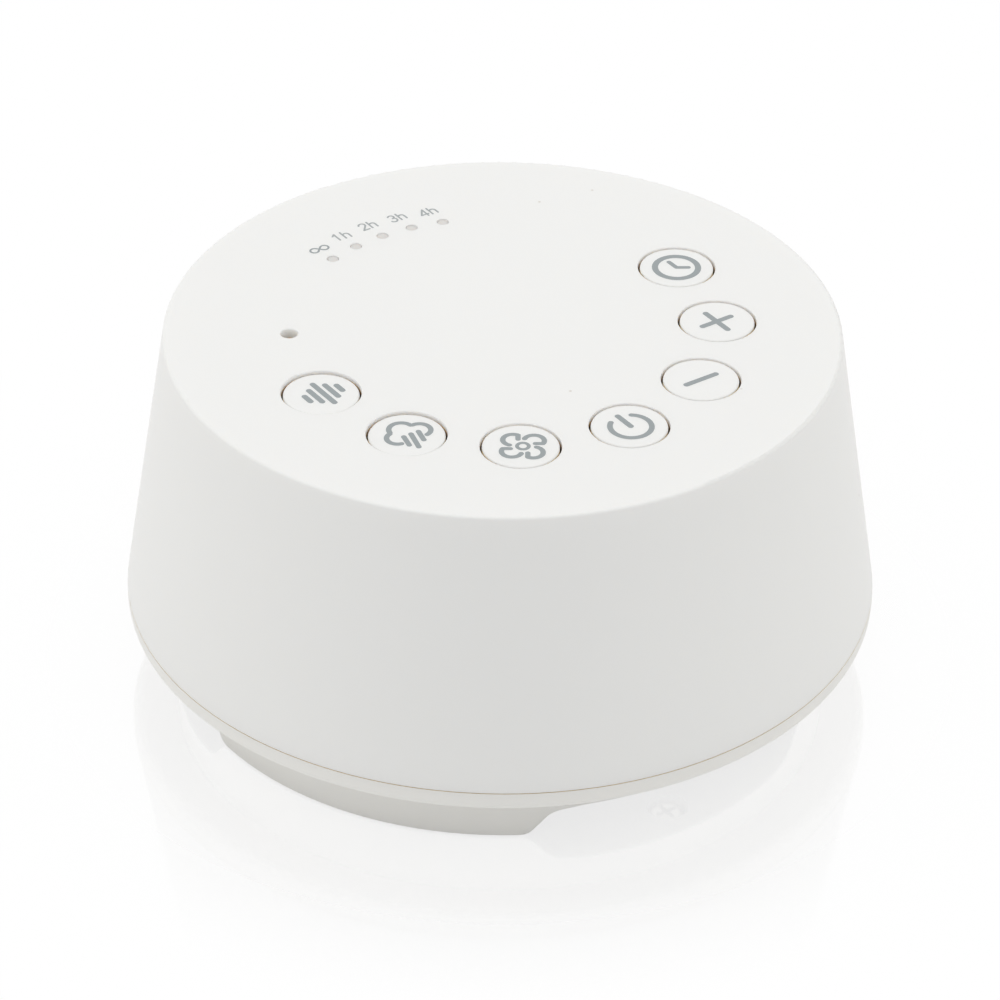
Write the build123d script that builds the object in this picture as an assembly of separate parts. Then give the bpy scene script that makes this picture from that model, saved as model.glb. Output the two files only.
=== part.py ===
from build123d import *
from math import cos, hypot, radians, sin, sqrt, tan
import os

# White noise sound machine: a tapered round housing with seven flush buttons and five timer lamps
# on top, on a base whose three feet leave arches for the sound of a loudspeaker that faces down.
#
# Millimetres. +Z is up, and the origin is on the machine's axis, level with the surface that it
# stands on. -Y is the user's side, with the power button, +Y is the rear, with the power inlet,
# and +X is the user's right. Angles are degrees round the axis from +X. All radii are radii.

os.makedirs("parts", exist_ok=True)

# ------------------------------------------------------------------ housing
SEAM_RADIUS = 55.0            # outside of the housing at the seam, its widest place
TOP_RADIUS = 48.5             # outside of the housing at the top, before its edge is rounded
UPPER_HEIGHT = 41.4           # from the seam to the top face
SIDE_WALL = 2.2
TOP_WALL = 2.2
TOP_EDGE_ROUND = 0.5
CEILING_ROUND = 1.2           # inside corner between side and top
SEAM_GROOVE_HEIGHT = 0.13     # shadow groove between housing and base
SEAM_GROOVE_DEPTH = 0.9

# ------------------------------------------------------------------ base
BAND_HEIGHT = 3.32            # rim of the base, below the seam
BAND_EDGE_ROUND = 1.6
BAND_OVERHANG = 6.7           # how far the rim stands out over the plinth
PLINTH_HEIGHT = 9.33          # from the bottom of the feet to the rim
PLINTH_WALL = 2.0
FLOOR_THICKNESS = 2.0
FLOOR_RISE = 4.85             # underside of the floor above the bottom of the feet
LIP_HEIGHT = 3.0              # lip that centres the housing on the base
LIP_WALL = 1.7
LIP_CLEARANCE = 0.25

FOOT_COUNT = 3
FIRST_FOOT_ANGLE = 90.0
FOOT_WIDTH = 7.3              # across a foot, along the radius
FOOT_EDGE_ROUND = 0.25        # outer edge of the feet and the arches
FOOT_SOLE = 2.0               # left under a foot where it is cored out from above
FOOT_CORE_STEP = 0.5          # between the core and the inside of the plinth's wall
ARCH_HALF_WIDTH = 23.85       # between two feet, at their bottom
ARCH_HEIGHT = 4.45            # at the crown, above the bottom of the feet
ARCH_SHOULDER_HALF_WIDTH = 20.85
ARCH_SHOULDER_HEIGHT = 3.85
ARCH_CROWN_HALF_WIDTH = 16.5
ARCH_TOE_ROUND = 2.2          # where a foot's end turns down to its bottom
ARCH_SHOULDER_ROUND = 3.2
ARCH_CROWN_ROUND = 25.0

PAD_THICKNESS = 1.1           # rubber pads let into the feet
PAD_PROUD = 0.2
PAD_MARGIN = 1.2              # foot left round a pad
PAD_END_MARGIN = 2.6          # foot left at a pad's ends
PAD_CLEARANCE = 0.1
PAD_EDGE_ROUND = 0.2          # sole of a pad

GRILLE_RADIUS = 21.0          # holes in the floor in front of the loudspeaker
GRILLE_PITCH = 4.4
GRILLE_HOLE_RADIUS = 1.1

# ------------------------------------------------------------------ screws
BASE_SCREW_RADIUS = 1.4
BASE_SCREW_LENGTH = 12.0
BOARD_SCREW_RADIUS = 1.0
BOARD_SCREW_LENGTH = 6.5
SPEAKER_SCREW_RADIUS = 1.1
SPEAKER_SCREW_LENGTH = 3.6
USB_SCREW_RADIUS = 1.0
USB_SCREW_LENGTH = 5.5
HEAD_RADIUS_RATIO = 1.9       # pan heads: head to shank
HEAD_HEIGHT_RATIO = 1.3
THREAD_CLEARANCE = 0.05       # between a shank and the bore that it cuts its thread in
HOLE_CLEARANCE = 0.3          # between a shank or head and a plain hole

SCREW_CUP_WALL = 1.3          # cups in the floor that sink the base screws' heads
SCREW_CUP_RISE = 2.2          # cup top above the floor
SCREW_CUP_MERGE = 0.4         # how far a cup runs into the plinth's wall
SCREW_SEAT = 1.9              # left under a sunk head
BOSS_WALL = 1.95              # posts of the housing that take the base screws
BOSS_HEIGHT = 18.0
WEB_THICKNESS = 1.6           # ties a boss to the side wall
WEB_CLEARANCE = 0.4           # over the lip

# ------------------------------------------------------------------ buttons
BUTTON_NAMES = ("white_noise", "rain_sound", "fan_sound", "power", "minus", "plus", "timer")
SUNK_BUTTONS = ("white_noise", "rain_sound")
BUTTON_CIRCLE = 30.8
FIRST_BUTTON_ANGLE = 180.0
BUTTON_STEP = 30.0
BUTTON_HOLE_RADIUS = 5.67
BUTTON_HOLE_EDGE_ROUND = 0.15
COLLAR_WALL = 1.1             # guide collar under each hole
COLLAR_DEPTH = 2.5
BUTTON_TRAVEL = 0.5
CAP_CLEARANCE = 0.3
CAP_RECESS = 0.1              # cap below the top face
CAP_RECESS_SUNK = 0.35
CAP_EDGE_ROUND = 0.25
CAP_ROOF = 1.5
CAP_WALL = 1.2
CAP_STEM_RADIUS = 1.6
CAP_STEM_DROP = 0.8           # stem end below the flange
FLANGE_OVERLAP = 0.6          # flange under the collar, which keeps the cap in
FLANGE_THICKNESS = 1.0
STOP_CLEARANCE = 0.1
KEY_WIDTH = 1.5               # key that keeps the cap from turning
KEY_HEIGHT = 1.6
KEY_CLEARANCE = 0.25

SWITCH_SIZE = 6.0
SWITCH_BODY_HEIGHT = 3.5
SWITCH_LEG_WIDTH = 0.7
SWITCH_LEG_REACH = 1.0
SWITCH_LEG_THICKNESS = 0.2
PLUNGER_RADIUS = 1.7
PLUNGER_RISE = 1.5            # above the switch body
PLUNGER_DEPTH = 0.9           # inside the switch body
PLUNGER_CLEARANCE = 0.3
PLUNGER_WELL_SPARE = 0.2      # left under the plunger when it is pressed

# ------------------------------------------------------------------ lamps
LAMP_COUNT = 5
LAMP_CIRCLE = 31.35
LAMP_STEP = 9.0
LAMP_MIDDLE_ANGLE = 90.0
LAMP_HOLE_RADIUS = 0.85
LAMP_CLEARANCE = 0.05
LAMP_RECESS = 0.12            # end of a light guide below the top face
GUIDE_BAR_WIDTH = 3.4
GUIDE_BAR_THICKNESS = 1.2
GUIDE_LED_GAP = 0.4
LED_LENGTH = 1.6
LED_WIDTH = 0.8
LED_HEIGHT = 0.7

STATUS_CIRCLE = 30.5
STATUS_ANGLE = 149.0
STATUS_HOLE_RADIUS = 1.25
STATUS_LED_RADIUS = 1.5
STATUS_LED_LENGTH = 3.8       # straight part under its dome
STATUS_LED_FLANGE = 0.4
STATUS_LED_DROP = 0.3         # dome below the ceiling
STATUS_LEG_SIZE = 0.5
STATUS_LEG_SPACING = 2.54
STATUS_COLLAR_WALL = 1.0
STATUS_COLLAR_DEPTH = 2.8
STATUS_COLLAR_CLEARANCE = 0.15

# ------------------------------------------------------------------ control board
BOARD_THICKNESS = 1.6
BOARD_MARGIN = 6.6            # board outside the circle of the switches
STANDOFF_WALL = 1.6
REAR_STANDOFF_CIRCLE = 33.0
REAR_STANDOFF_ANGLES = (125.0, 38.0)
FRONT_STANDOFF_CIRCLE = 20.0
FRONT_STANDOFF_ANGLES = (225.0, 315.0)

SOUND_CHIP_PLACE = (-7.0, 6.0)
SOUND_CHIP_SIZE = (9.9, 3.9, 1.6)
SOUND_CHIP_LEGS = 8           # each side
AMPLIFIER_PLACE = (9.0, -2.0)
MEMORY_CHIP_PLACE = (-6.5, -5.0)
SMALL_CHIP_SIZE = (4.9, 3.9, 1.6)
SMALL_CHIP_LEGS = 4
LEG_PITCH = 1.27
LEG_WIDTH = 0.4
LEG_THICKNESS = 0.2
LEG_REACH = 1.0
CRYSTAL_PLACE = (5.0, 10.0)
CRYSTAL_SIZE = (11.0, 4.6, 3.5)
CAPACITOR_PLACES = ((15.5, 7.0), (17.5, -2.0), (0.0, -12.5))
CAPACITOR_RADIUS = 3.15
CAPACITOR_HEIGHT = 5.4
CAPACITOR_BASE = 6.6
CAPACITOR_BASE_HEIGHT = 1.0
CONNECTOR_LENGTH = 6.0
CONNECTOR_WIDTH = 4.6
CONNECTOR_HEIGHT = 6.0
USB_CONNECTOR_PLACE = (0.0, 25.5)
SPEAKER_CONNECTOR_PLACE = (-23.5, 9.0)

# ------------------------------------------------------------------ loudspeaker
SPEAKER_RADIUS = 28.5
SPEAKER_RIM_WIDTH = 3.1
SPEAKER_SCREW_COUNT = 4
EAR_OFFSET = 2.5              # screw circle outside the rim
EAR_RADIUS = 3.0
BASKET_GAUGE = 0.9            # pressed sheet
LEDGE_DEPTH = 2.0             # ledge for the surround, behind the rim's face
LEDGE_WIDTH = 2.5
SPIDER_LEDGE_DEPTH = 9.3
SPIDER_LEDGE_WIDTH = 2.4
BASKET_DEPTH = 13.0
BASKET_BACK_WIDTH = 3.0
BASKET_WINDOW_WIDTH = 15.0
CLOTH_THICKNESS = 0.25
GASKET_THICKNESS = 1.5
GASKET_WIDTH = 3.6
GASKET_INSET = 1.5            # inside the rim's edge

SURROUND_THICKNESS = 0.5
SURROUND_GLUE_WIDTH = 1.7
ROLL_RADIUS = 1.6
CONE_GLUE_WIDTH = 1.2
CONE_THICKNESS = 0.5
CONE_NECK_DEPTH = 7.3         # behind the rim's face
GLUE_LINE = 0.05
SPIDER_THICKNESS = 0.4
SPIDER_WAVE = 0.5
SPIDER_WAVES = 3
SPIDER_CLEARANCE = 0.1
DUST_CAP_OVERLAP = 1.4        # dust cap outside the coil former
DUST_CAP_RISE = 2.6
DUST_CAP_THICKNESS = 0.3

POLE_RADIUS = 9.4
COIL_CLEARANCE = 0.4          # each side of the voice coil
FORMER_THICKNESS = 0.3
WINDING_THICKNESS = 0.4
CONE_TRAVEL = 1.0             # each way, over which the winding fills the gap
TOP_PLATE_RADIUS = 19.0
TOP_PLATE_THICKNESS = 2.5
MAGNET_RADIUS = 21.0
MAGNET_BORE_RADIUS = 13.0
MAGNET_THICKNESS = 7.0
YOKE_THICKNESS = 2.5
TERMINAL_BOARD_WIDTH = 10.0
TERMINAL_BOARD_HEIGHT = 6.0
TERMINAL_BOARD_THICKNESS = 1.2
TERMINAL_TAB = (2.0, 0.5, 2.2)     # width, thickness, height
TERMINAL_SPACING = 5.0

# ------------------------------------------------------------------ power inlet
PORT_HEIGHT = 6.5             # middle of the inlet above the seam
PORT_RECESS = 0.6             # mouth of the inlet inside the housing's surface
PORT_CLEARANCE = 0.28
SHELL_WIDTH = 8.94
SHELL_HEIGHT = 3.26
SHELL_LENGTH = 7.35
SHELL_WALL = 0.3
TONGUE_WIDTH = 6.69
TONGUE_THICKNESS = 0.7
TONGUE_LENGTH = 4.5
TONGUE_BLOCK = 1.4
USB_BOARD_WIDTH = 20.0
USB_BOARD_LENGTH = 13.0
USB_BOARD_THICKNESS = 1.6
USB_BOARD_CLEARANCE = 0.3
USB_SCREW_SPACING = 14.0
USB_SCREW_SETBACK = 4.5       # behind the board's outer edge
USB_BOSS_WALL = 1.2
USB_BOSS_HEIGHT = 7.0

# ------------------------------------------------------------------ wires
WIRE_RADIUS = 0.65
WIRE_SPACING = 2.0
ARC_SHARE = 0.45              # of the shorter run, taken by the arc at a bend

NEAR = 0.01                   # two places this close are one

# ------------------------------------------------------------------ worked out from the sizes
plinth_radius = SEAM_RADIUS - BAND_OVERHANG
plinth_inner = plinth_radius - PLINTH_WALL
foot_inner = plinth_radius - FOOT_WIDTH
arch_step = 360.0 / FOOT_COUNT
first_arch_angle = FIRST_FOOT_ANGLE + arch_step / 2

z_foot = PAD_PROUD
z_floor_under = z_foot + FLOOR_RISE
z_floor = z_floor_under + FLOOR_THICKNESS
z_band = z_foot + PLINTH_HEIGHT
z_seam = z_band + BAND_HEIGHT
z_lip = z_seam + LIP_HEIGHT
z_top = z_seam + UPPER_HEIGHT
z_ceiling = z_top - TOP_WALL

base_head_radius = BASE_SCREW_RADIUS * HEAD_RADIUS_RATIO
cup_radius = base_head_radius + HOLE_CLEARANCE + SCREW_CUP_WALL
base_screw_circle = plinth_inner - cup_radius + SCREW_CUP_MERGE
z_cup = z_floor + SCREW_CUP_RISE
z_base_head = z_cup - SCREW_SEAT          # bearing face of the base screws' heads
boss_radius = BASE_SCREW_RADIUS + BOSS_WALL

z_collar = z_ceiling - COLLAR_DEPTH
z_flange = z_collar - STOP_CLEARANCE
z_stem = z_flange - FLANGE_THICKNESS - CAP_STEM_DROP
z_switch = z_stem - PLUNGER_RISE          # top of the switch bodies
z_board = z_switch - SWITCH_BODY_HEIGHT   # upper face of the control board
z_board_under = z_board - BOARD_THICKNESS
board_radius = BUTTON_CIRCLE + BOARD_MARGIN
cap_radius = BUTTON_HOLE_RADIUS - CAP_CLEARANCE
flange_radius = BUTTON_HOLE_RADIUS + FLANGE_OVERLAP

z_cloth = z_floor + CLOTH_THICKNESS
z_speaker = z_cloth + GASKET_THICKNESS    # face of the loudspeaker's rim
z_rim_back = z_speaker + BASKET_GAUGE
z_ledge = z_speaker + LEDGE_DEPTH
z_neck = z_speaker + CONE_NECK_DEPTH
z_spider_ledge = z_speaker + SPIDER_LEDGE_DEPTH
z_basket_back = z_speaker + BASKET_DEPTH
z_top_plate = z_basket_back + BASKET_GAUGE
z_magnet = z_top_plate + TOP_PLATE_THICKNESS
z_yoke = z_magnet + MAGNET_THICKNESS
rim_inner = SPEAKER_RADIUS - SPEAKER_RIM_WIDTH
ledge_inner = rim_inner - LEDGE_WIDTH
roll_outer = rim_inner - SURROUND_GLUE_WIDTH - GLUE_LINE
roll_inner = roll_outer - 2 * ROLL_RADIUS
former_inner = POLE_RADIUS + COIL_CLEARANCE
former_outer = former_inner + FORMER_THICKNESS
winding_outer = former_outer + WINDING_THICKNESS
plate_bore = winding_outer + COIL_CLEARANCE
basket_bore = plate_bore + COIL_CLEARANCE
basket_back_radius = basket_bore + BASKET_BACK_WIDTH
spider_radius = basket_back_radius + SPIDER_LEDGE_WIDTH
speaker_screw_circle = SPEAKER_RADIUS + EAR_OFFSET
terminal_x = -(rim_inner + BASKET_GAUGE + TERMINAL_BOARD_THICKNESS / 2)


def outer_radius(z):
    """Outside of the tapered side wall at a height."""
    return SEAM_RADIUS - (SEAM_RADIUS - TOP_RADIUS) * (z - z_seam) / UPPER_HEIGHT


def inner_radius(z):
    """Inside of the tapered side wall at a height."""
    return outer_radius(z) - SIDE_WALL


z_port = z_seam + PORT_HEIGHT
port_mouth = outer_radius(z_port) - PORT_RECESS
z_usb_board = z_port + SHELL_HEIGHT / 2
z_usb_board_top = z_usb_board + USB_BOARD_THICKNESS
usb_board_edge = sqrt(inner_radius(z_usb_board_top) ** 2 - (USB_BOARD_WIDTH / 2) ** 2) - USB_BOARD_CLEARANCE
usb_screw_y = usb_board_edge - USB_SCREW_SETBACK
usb_boss_radius = USB_SCREW_RADIUS + USB_BOSS_WALL


# ------------------------------------------------------------------ shapes used throughout
def at(radius, angle):
    """Place at a distance from the axis and an angle round it, without turning."""
    return Pos(radius * cos(radians(angle)), radius * sin(radians(angle)), 0)


def turn(angle):
    """Turn about the machine's axis."""
    return Rot(0, 0, angle)


def disc(radius, bottom, top):
    """Upright cylinder on the axis."""
    upright = (Align.CENTER, Align.CENTER, Align.MIN)
    return Pos(0, 0, bottom) * Cylinder(radius, top - bottom, align=upright)


def ring(outer, inner, bottom, top):
    """Upright tube on the axis."""
    return disc(outer, bottom, top) - disc(inner, bottom, top)


def block(x_range, y_range, z_range):
    """Box between two limits along each axis."""
    ranges = (x_range, y_range, z_range)
    centre = [(low + high) / 2 for low, high in ranges]
    return Pos(*centre) * Box(*[high - low for low, high in ranges])


def turned(*corners):
    """Solid of revolution about Z through corners of radius, height and an optional rounding."""
    points = [(corner[0], 0, corner[1]) for corner in corners]
    rounds = [corner[2] if len(corner) > 2 else 0 for corner in corners]
    if any(rounds):
        outline = FilletPolyline(*points, radius=rounds, close=True)
    else:
        outline = Polyline(*points, close=True)
    return revolve(make_face(outline), Axis.Z)


def screw(radius, length):
    """Pan head screw with a cross recess: shank up +Z, bearing face of the head at height 0."""
    head_radius = radius * HEAD_RADIUS_RATIO
    head_height = radius * HEAD_HEIGHT_RATIO
    point = radius * 0.8
    body = turned(
        (0, -head_height),
        (head_radius, -head_height, head_height * 0.6),
        (head_radius, 0),
        (radius, 0),
        (radius, length - point),
        (radius * 0.3, length),
        (0, length),
    )
    slot = head_radius * 0.6
    blade = radius * 0.25
    depth = (-head_height, -head_height * 0.4)
    cross = block((-slot, slot), (-blade, blade), depth) + block((-blade, blade), (-slot, slot), depth)
    return body - cross


def bore(radius, length):
    """Blind hole up +Z for a screw's shank, from height 0."""
    return disc(radius + THREAD_CLEARANCE, 0, length + THREAD_CLEARANCE)


def solids(shapes):
    """One node made of separate solids."""
    return Compound([solid for shape in shapes for solid in shape.solids()])


# ------------------------------------------------------------------ places that repeat
arch_angles = [first_arch_angle + arch_step * i for i in range(FOOT_COUNT)]
button_angles = {name: FIRST_BUTTON_ANGLE + BUTTON_STEP * i for i, name in enumerate(BUTTON_NAMES)}
lamp_angles = [LAMP_MIDDLE_ANGLE + LAMP_STEP * (i - (LAMP_COUNT - 1) / 2) for i in range(LAMP_COUNT)]
standoff_places = [(REAR_STANDOFF_CIRCLE, angle) for angle in REAR_STANDOFF_ANGLES]
standoff_places += [(FRONT_STANDOFF_CIRCLE, angle) for angle in FRONT_STANDOFF_ANGLES]
speaker_step = 360.0 / SPEAKER_SCREW_COUNT
speaker_screw_angles = [speaker_step * (i + 0.5) for i in range(SPEAKER_SCREW_COUNT)]


def arch_cutter():
    """Opening between two feet, about -Y: flat crown, S-shaped sides, straight through the ring."""
    crown = z_foot + ARCH_HEIGHT
    shoulder = z_foot + ARCH_SHOULDER_HEIGHT
    below = z_foot - ARCH_HEIGHT
    side = [
        (ARCH_CROWN_HALF_WIDTH, crown, ARCH_CROWN_ROUND),
        (ARCH_SHOULDER_HALF_WIDTH, shoulder, ARCH_SHOULDER_ROUND),
        (ARCH_HALF_WIDTH, z_foot, ARCH_TOE_ROUND),
        (SEAM_RADIUS, z_foot, 0),
        (SEAM_RADIUS, below, 0),
    ]
    corners = side + [(-x, z, rounding) for x, z, rounding in reversed(side)]
    points = [(x, 0, z) for x, z, _ in corners]
    outline = FilletPolyline(*points, radius=[rounding for _, _, rounding in corners], close=True)
    return extrude(make_face(outline), SEAM_RADIUS, dir=(0, -1, 0))


def foot_segments(outer, inner, bottom, top, end_margin):
    """A ring cut to the feet, short of the arches' toes by a margin."""
    half = ARCH_HALF_WIDTH + end_margin
    segments = ring(outer, inner, bottom, top)
    for angle in arch_angles:
        segments -= turn(angle) * block((0, SEAM_RADIUS), (-half, half), (bottom, top))
    return segments


# ------------------------------------------------------------------ casing
def upper_housing():
    """Tapered shell with the top face, button collars, screw bosses and the inlet's slot."""
    envelope = turned(
        (0, z_seam),
        (SEAM_RADIUS, z_seam),
        (TOP_RADIUS, z_top, TOP_EDGE_ROUND),
        (0, z_top),
    )
    cavity = turned(
        (0, z_seam),
        (inner_radius(z_seam), z_seam),
        (inner_radius(z_ceiling), z_ceiling, CEILING_ROUND),
        (0, z_ceiling),
    )
    housing = envelope - cavity
    housing += housing_bosses() & envelope

    collar_radius = BUTTON_HOLE_RADIUS + COLLAR_WALL
    key_half = KEY_WIDTH / 2 + KEY_CLEARANCE
    for angle in button_angles.values():
        spot = at(BUTTON_CIRCLE, angle) * turn(angle)
        housing += spot * disc(collar_radius, z_collar, z_ceiling)
        housing -= spot * disc(BUTTON_HOLE_RADIUS, z_collar, z_top)
        housing -= spot * block((-collar_radius, 0), (-key_half, key_half), (z_collar, z_ceiling))
    for angle in lamp_angles:
        housing -= at(LAMP_CIRCLE, angle) * disc(LAMP_HOLE_RADIUS, z_ceiling, z_top)

    status = at(STATUS_CIRCLE, STATUS_ANGLE)
    well_radius = STATUS_LED_RADIUS + STATUS_COLLAR_CLEARANCE
    z_well = z_ceiling - STATUS_COLLAR_DEPTH
    housing += status * ring(well_radius + STATUS_COLLAR_WALL, well_radius, z_well, z_ceiling)
    housing -= status * disc(STATUS_HOLE_RADIUS, z_ceiling, z_top)

    for radius, angle in standoff_places:
        post = disc(BOARD_SCREW_RADIUS + STANDOFF_WALL, z_board, z_ceiling)
        hole = Pos(0, 0, z_board) * bore(BOARD_SCREW_RADIUS, BOARD_SCREW_LENGTH - BOARD_THICKNESS)
        housing += at(radius, angle) * (post - hole)

    slot_width = SHELL_WIDTH + 2 * PORT_CLEARANCE
    slot_height = SHELL_HEIGHT + 2 * PORT_CLEARANCE
    slot = inlet_face(SEAM_RADIUS) * SlotOverall(slot_width, slot_height)
    housing -= extrude(slot, SEAM_RADIUS - port_mouth + SHELL_LENGTH)

    rims = housing.edges().filter_by(GeomType.CIRCLE).group_by(Axis.Z)[-1]
    rims = [edge for edge in rims if edge.radius < BUTTON_HOLE_RADIUS * 2]
    return fillet(rims, BUTTON_HOLE_EDGE_ROUND)


def housing_bosses():
    """Posts for the base screws and the inlet's board, tied to the side wall by webs."""
    bosses = Part()
    half_web = WEB_THICKNESS / 2
    z_boss_top = z_cup + BOSS_HEIGHT
    hole = Pos(0, 0, z_cup) * bore(BASE_SCREW_RADIUS, BASE_SCREW_LENGTH - SCREW_SEAT)
    for angle in arch_angles:
        post = at(base_screw_circle, angle) * disc(boss_radius, z_cup, z_boss_top)
        web_range = (z_lip + WEB_CLEARANCE, z_boss_top)
        web = block((base_screw_circle, SEAM_RADIUS), (-half_web, half_web), web_range)
        bosses += post + turn(angle) * web
        bosses -= at(base_screw_circle, angle) * hole

    z_boss_top = z_usb_board_top + USB_BOSS_HEIGHT
    hole = Pos(0, 0, z_usb_board_top) * bore(USB_SCREW_RADIUS, USB_SCREW_LENGTH - USB_BOARD_THICKNESS)
    for x in (-USB_SCREW_SPACING / 2, USB_SCREW_SPACING / 2):
        post = Pos(x, usb_screw_y, 0) * disc(usb_boss_radius, z_usb_board_top, z_boss_top)
        web_range = (z_usb_board_top, z_boss_top)
        web = block((x - half_web, x + half_web), (usb_screw_y, SEAM_RADIUS), web_range)
        bosses += post + web
        bosses -= Pos(x, usb_screw_y, 0) * hole
    return bosses


def inlet_face(y):
    """Upright plane across the inlet at a distance behind the axis, facing the axis."""
    return Plane((0, y, z_port), x_dir=(1, 0, 0), z_dir=(0, -1, 0))


def base_cover():
    """Rim, plinth, feet and floor in one moulding, with the grille and the screw cups."""
    lip_foot = inner_radius(z_seam) - LIP_CLEARANCE
    lip_tip = inner_radius(z_lip) - LIP_CLEARANCE
    base = turned(
        (0, z_floor_under),
        (foot_inner, z_floor_under),
        (foot_inner, z_foot),
        (plinth_radius, z_foot),
        (plinth_radius, z_band),
        (SEAM_RADIUS, z_band, BAND_EDGE_ROUND),
        (SEAM_RADIUS, z_seam - SEAM_GROOVE_HEIGHT),
        (SEAM_RADIUS - SEAM_GROOVE_DEPTH, z_seam - SEAM_GROOVE_HEIGHT),
        (SEAM_RADIUS - SEAM_GROOVE_DEPTH, z_seam),
        (lip_foot, z_seam),
        (lip_tip, z_lip),
        (lip_tip - LIP_WALL, z_lip),
        (lip_tip - LIP_WALL, z_seam),
        (plinth_inner, z_seam),
        (plinth_inner, z_floor),
        (0, z_floor),
    )
    cutter = arch_cutter()
    for angle in arch_angles:
        base -= turn(angle + 90) * cutter
    base = fillet(foot_rims(base), FOOT_EDGE_ROUND)
    core_inner = foot_inner + PLINTH_WALL
    core_outer = plinth_inner - FOOT_CORE_STEP
    base -= foot_segments(core_outer, core_inner, z_foot + FOOT_SOLE, z_floor, PAD_END_MARGIN)
    base -= foot_segments(
        plinth_radius - PAD_MARGIN,
        foot_inner + PAD_MARGIN,
        z_foot,
        z_foot + PAD_THICKNESS - PAD_PROUD,
        PAD_END_MARGIN,
    )

    for angle in arch_angles:
        base += at(base_screw_circle, angle) * disc(cup_radius, z_floor_under, z_cup)
    for angle in arch_angles:
        sink = disc(base_head_radius + HOLE_CLEARANCE, z_foot, z_base_head)
        hole = disc(BASE_SCREW_RADIUS + HOLE_CLEARANCE, z_base_head, z_cup)
        base -= at(base_screw_circle, angle) * (sink + hole)
    for angle in speaker_screw_angles:
        post = disc(EAR_RADIUS, z_floor, z_speaker)
        depth = SPEAKER_SCREW_LENGTH - BASKET_GAUGE
        hole = Pos(0, 0, z_speaker) * Rot(180, 0, 0) * bore(SPEAKER_SCREW_RADIUS, depth)
        base += at(speaker_screw_circle, angle) * post
        base -= at(speaker_screw_circle, angle) * hole
    return base - grille_holes()


def foot_rims(base):
    """Edges where the feet and the arches meet the outside of the plinth, in one smooth line."""
    rims = []
    for edge in base.edges():
        points = [edge @ share for share in (0, 0.5, 1)]
        on_plinth = all(abs(hypot(p.X, p.Y) - plinth_radius) < NEAR for p in points)
        if on_plinth and all(p.Z < z_foot + ARCH_HEIGHT + NEAR for p in points):
            rims.append(edge)
    return rims


def grille_holes():
    """Hexagonal field of round holes through the floor, kept inside a circle."""
    hole = disc(GRILLE_HOLE_RADIUS, z_floor_under, z_floor)
    row_pitch = GRILLE_PITCH * sqrt(3) / 2
    reach = int(GRILLE_RADIUS / row_pitch) + 1
    holes = []
    for row in range(-reach, reach + 1):
        for column in range(-2 * reach, 2 * reach + 1):
            x = GRILLE_PITCH * (column + row / 2)
            y = row_pitch * row
            if sqrt(x * x + y * y) <= GRILLE_RADIUS:
                holes.append(Pos(x, y, 0) * hole)
    return solids(holes)


def anti_slip_pads():
    """Rubber pads in the feet's pockets."""
    outer = plinth_radius - PAD_MARGIN - PAD_CLEARANCE
    inner = foot_inner + PAD_MARGIN + PAD_CLEARANCE
    margin = PAD_END_MARGIN + PAD_CLEARANCE
    pads = foot_segments(outer, inner, z_foot - PAD_PROUD, z_foot - PAD_PROUD + PAD_THICKNESS, margin)
    return fillet(pads.edges().group_by(Axis.Z)[0], PAD_EDGE_ROUND)


def base_screws():
    """Screws that pull the housing's bosses down on the base's cups."""
    one = Pos(0, 0, z_base_head) * screw(BASE_SCREW_RADIUS, BASE_SCREW_LENGTH)
    return solids([at(base_screw_circle, angle) * one for angle in arch_angles])


# ------------------------------------------------------------------ buttons and switches
def button_cap(name):
    """Hollow cap with a flange that stops on the collar, a key and a stem down to the switch."""
    recess = CAP_RECESS_SUNK if name in SUNK_BUTTONS else CAP_RECESS
    z_cap = z_top - recess
    z_under = z_flange - FLANGE_THICKNESS
    cap = turned(
        (0, z_stem),
        (CAP_STEM_RADIUS, z_stem),
        (CAP_STEM_RADIUS, z_cap - CAP_ROOF),
        (cap_radius - CAP_WALL, z_cap - CAP_ROOF),
        (cap_radius - CAP_WALL, z_under),
        (flange_radius, z_under),
        (flange_radius, z_flange),
        (cap_radius, z_flange),
        (cap_radius, z_cap, CAP_EDGE_ROUND),
        (0, z_cap),
    )
    half = KEY_WIDTH / 2
    key_range = (-flange_radius, CAP_WALL / 2 - cap_radius)
    cap += block(key_range, (-half, half), (z_flange, z_flange + KEY_HEIGHT))
    return at(BUTTON_CIRCLE, button_angles[name]) * turn(button_angles[name]) * cap


def switch_body(name):
    """Tactile switch: square body with a round well for its plunger, and four flat legs."""
    half = SWITCH_SIZE / 2
    body = block((-half, half), (-half, half), (z_board, z_switch))
    well_depth = PLUNGER_DEPTH + BUTTON_TRAVEL + PLUNGER_WELL_SPARE
    body -= disc(PLUNGER_RADIUS + PLUNGER_CLEARANCE, z_switch - well_depth, z_switch)
    legs = block(
        (-half - SWITCH_LEG_REACH, half + SWITCH_LEG_REACH),
        (-SWITCH_LEG_WIDTH / 2, SWITCH_LEG_WIDTH / 2),
        (z_board, z_board + SWITCH_LEG_THICKNESS),
    )
    leg_offset = half - SWITCH_LEG_WIDTH
    body += Pos(0, leg_offset, 0) * legs + Pos(0, -leg_offset, 0) * legs
    return at(BUTTON_CIRCLE, button_angles[name]) * turn(button_angles[name]) * body


def switch_plunger(name):
    """Round plunger between the cap's stem and the switch's dome."""
    plunger = disc(PLUNGER_RADIUS, z_switch - PLUNGER_DEPTH, z_stem)
    return at(BUTTON_CIRCLE, button_angles[name]) * plunger


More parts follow.
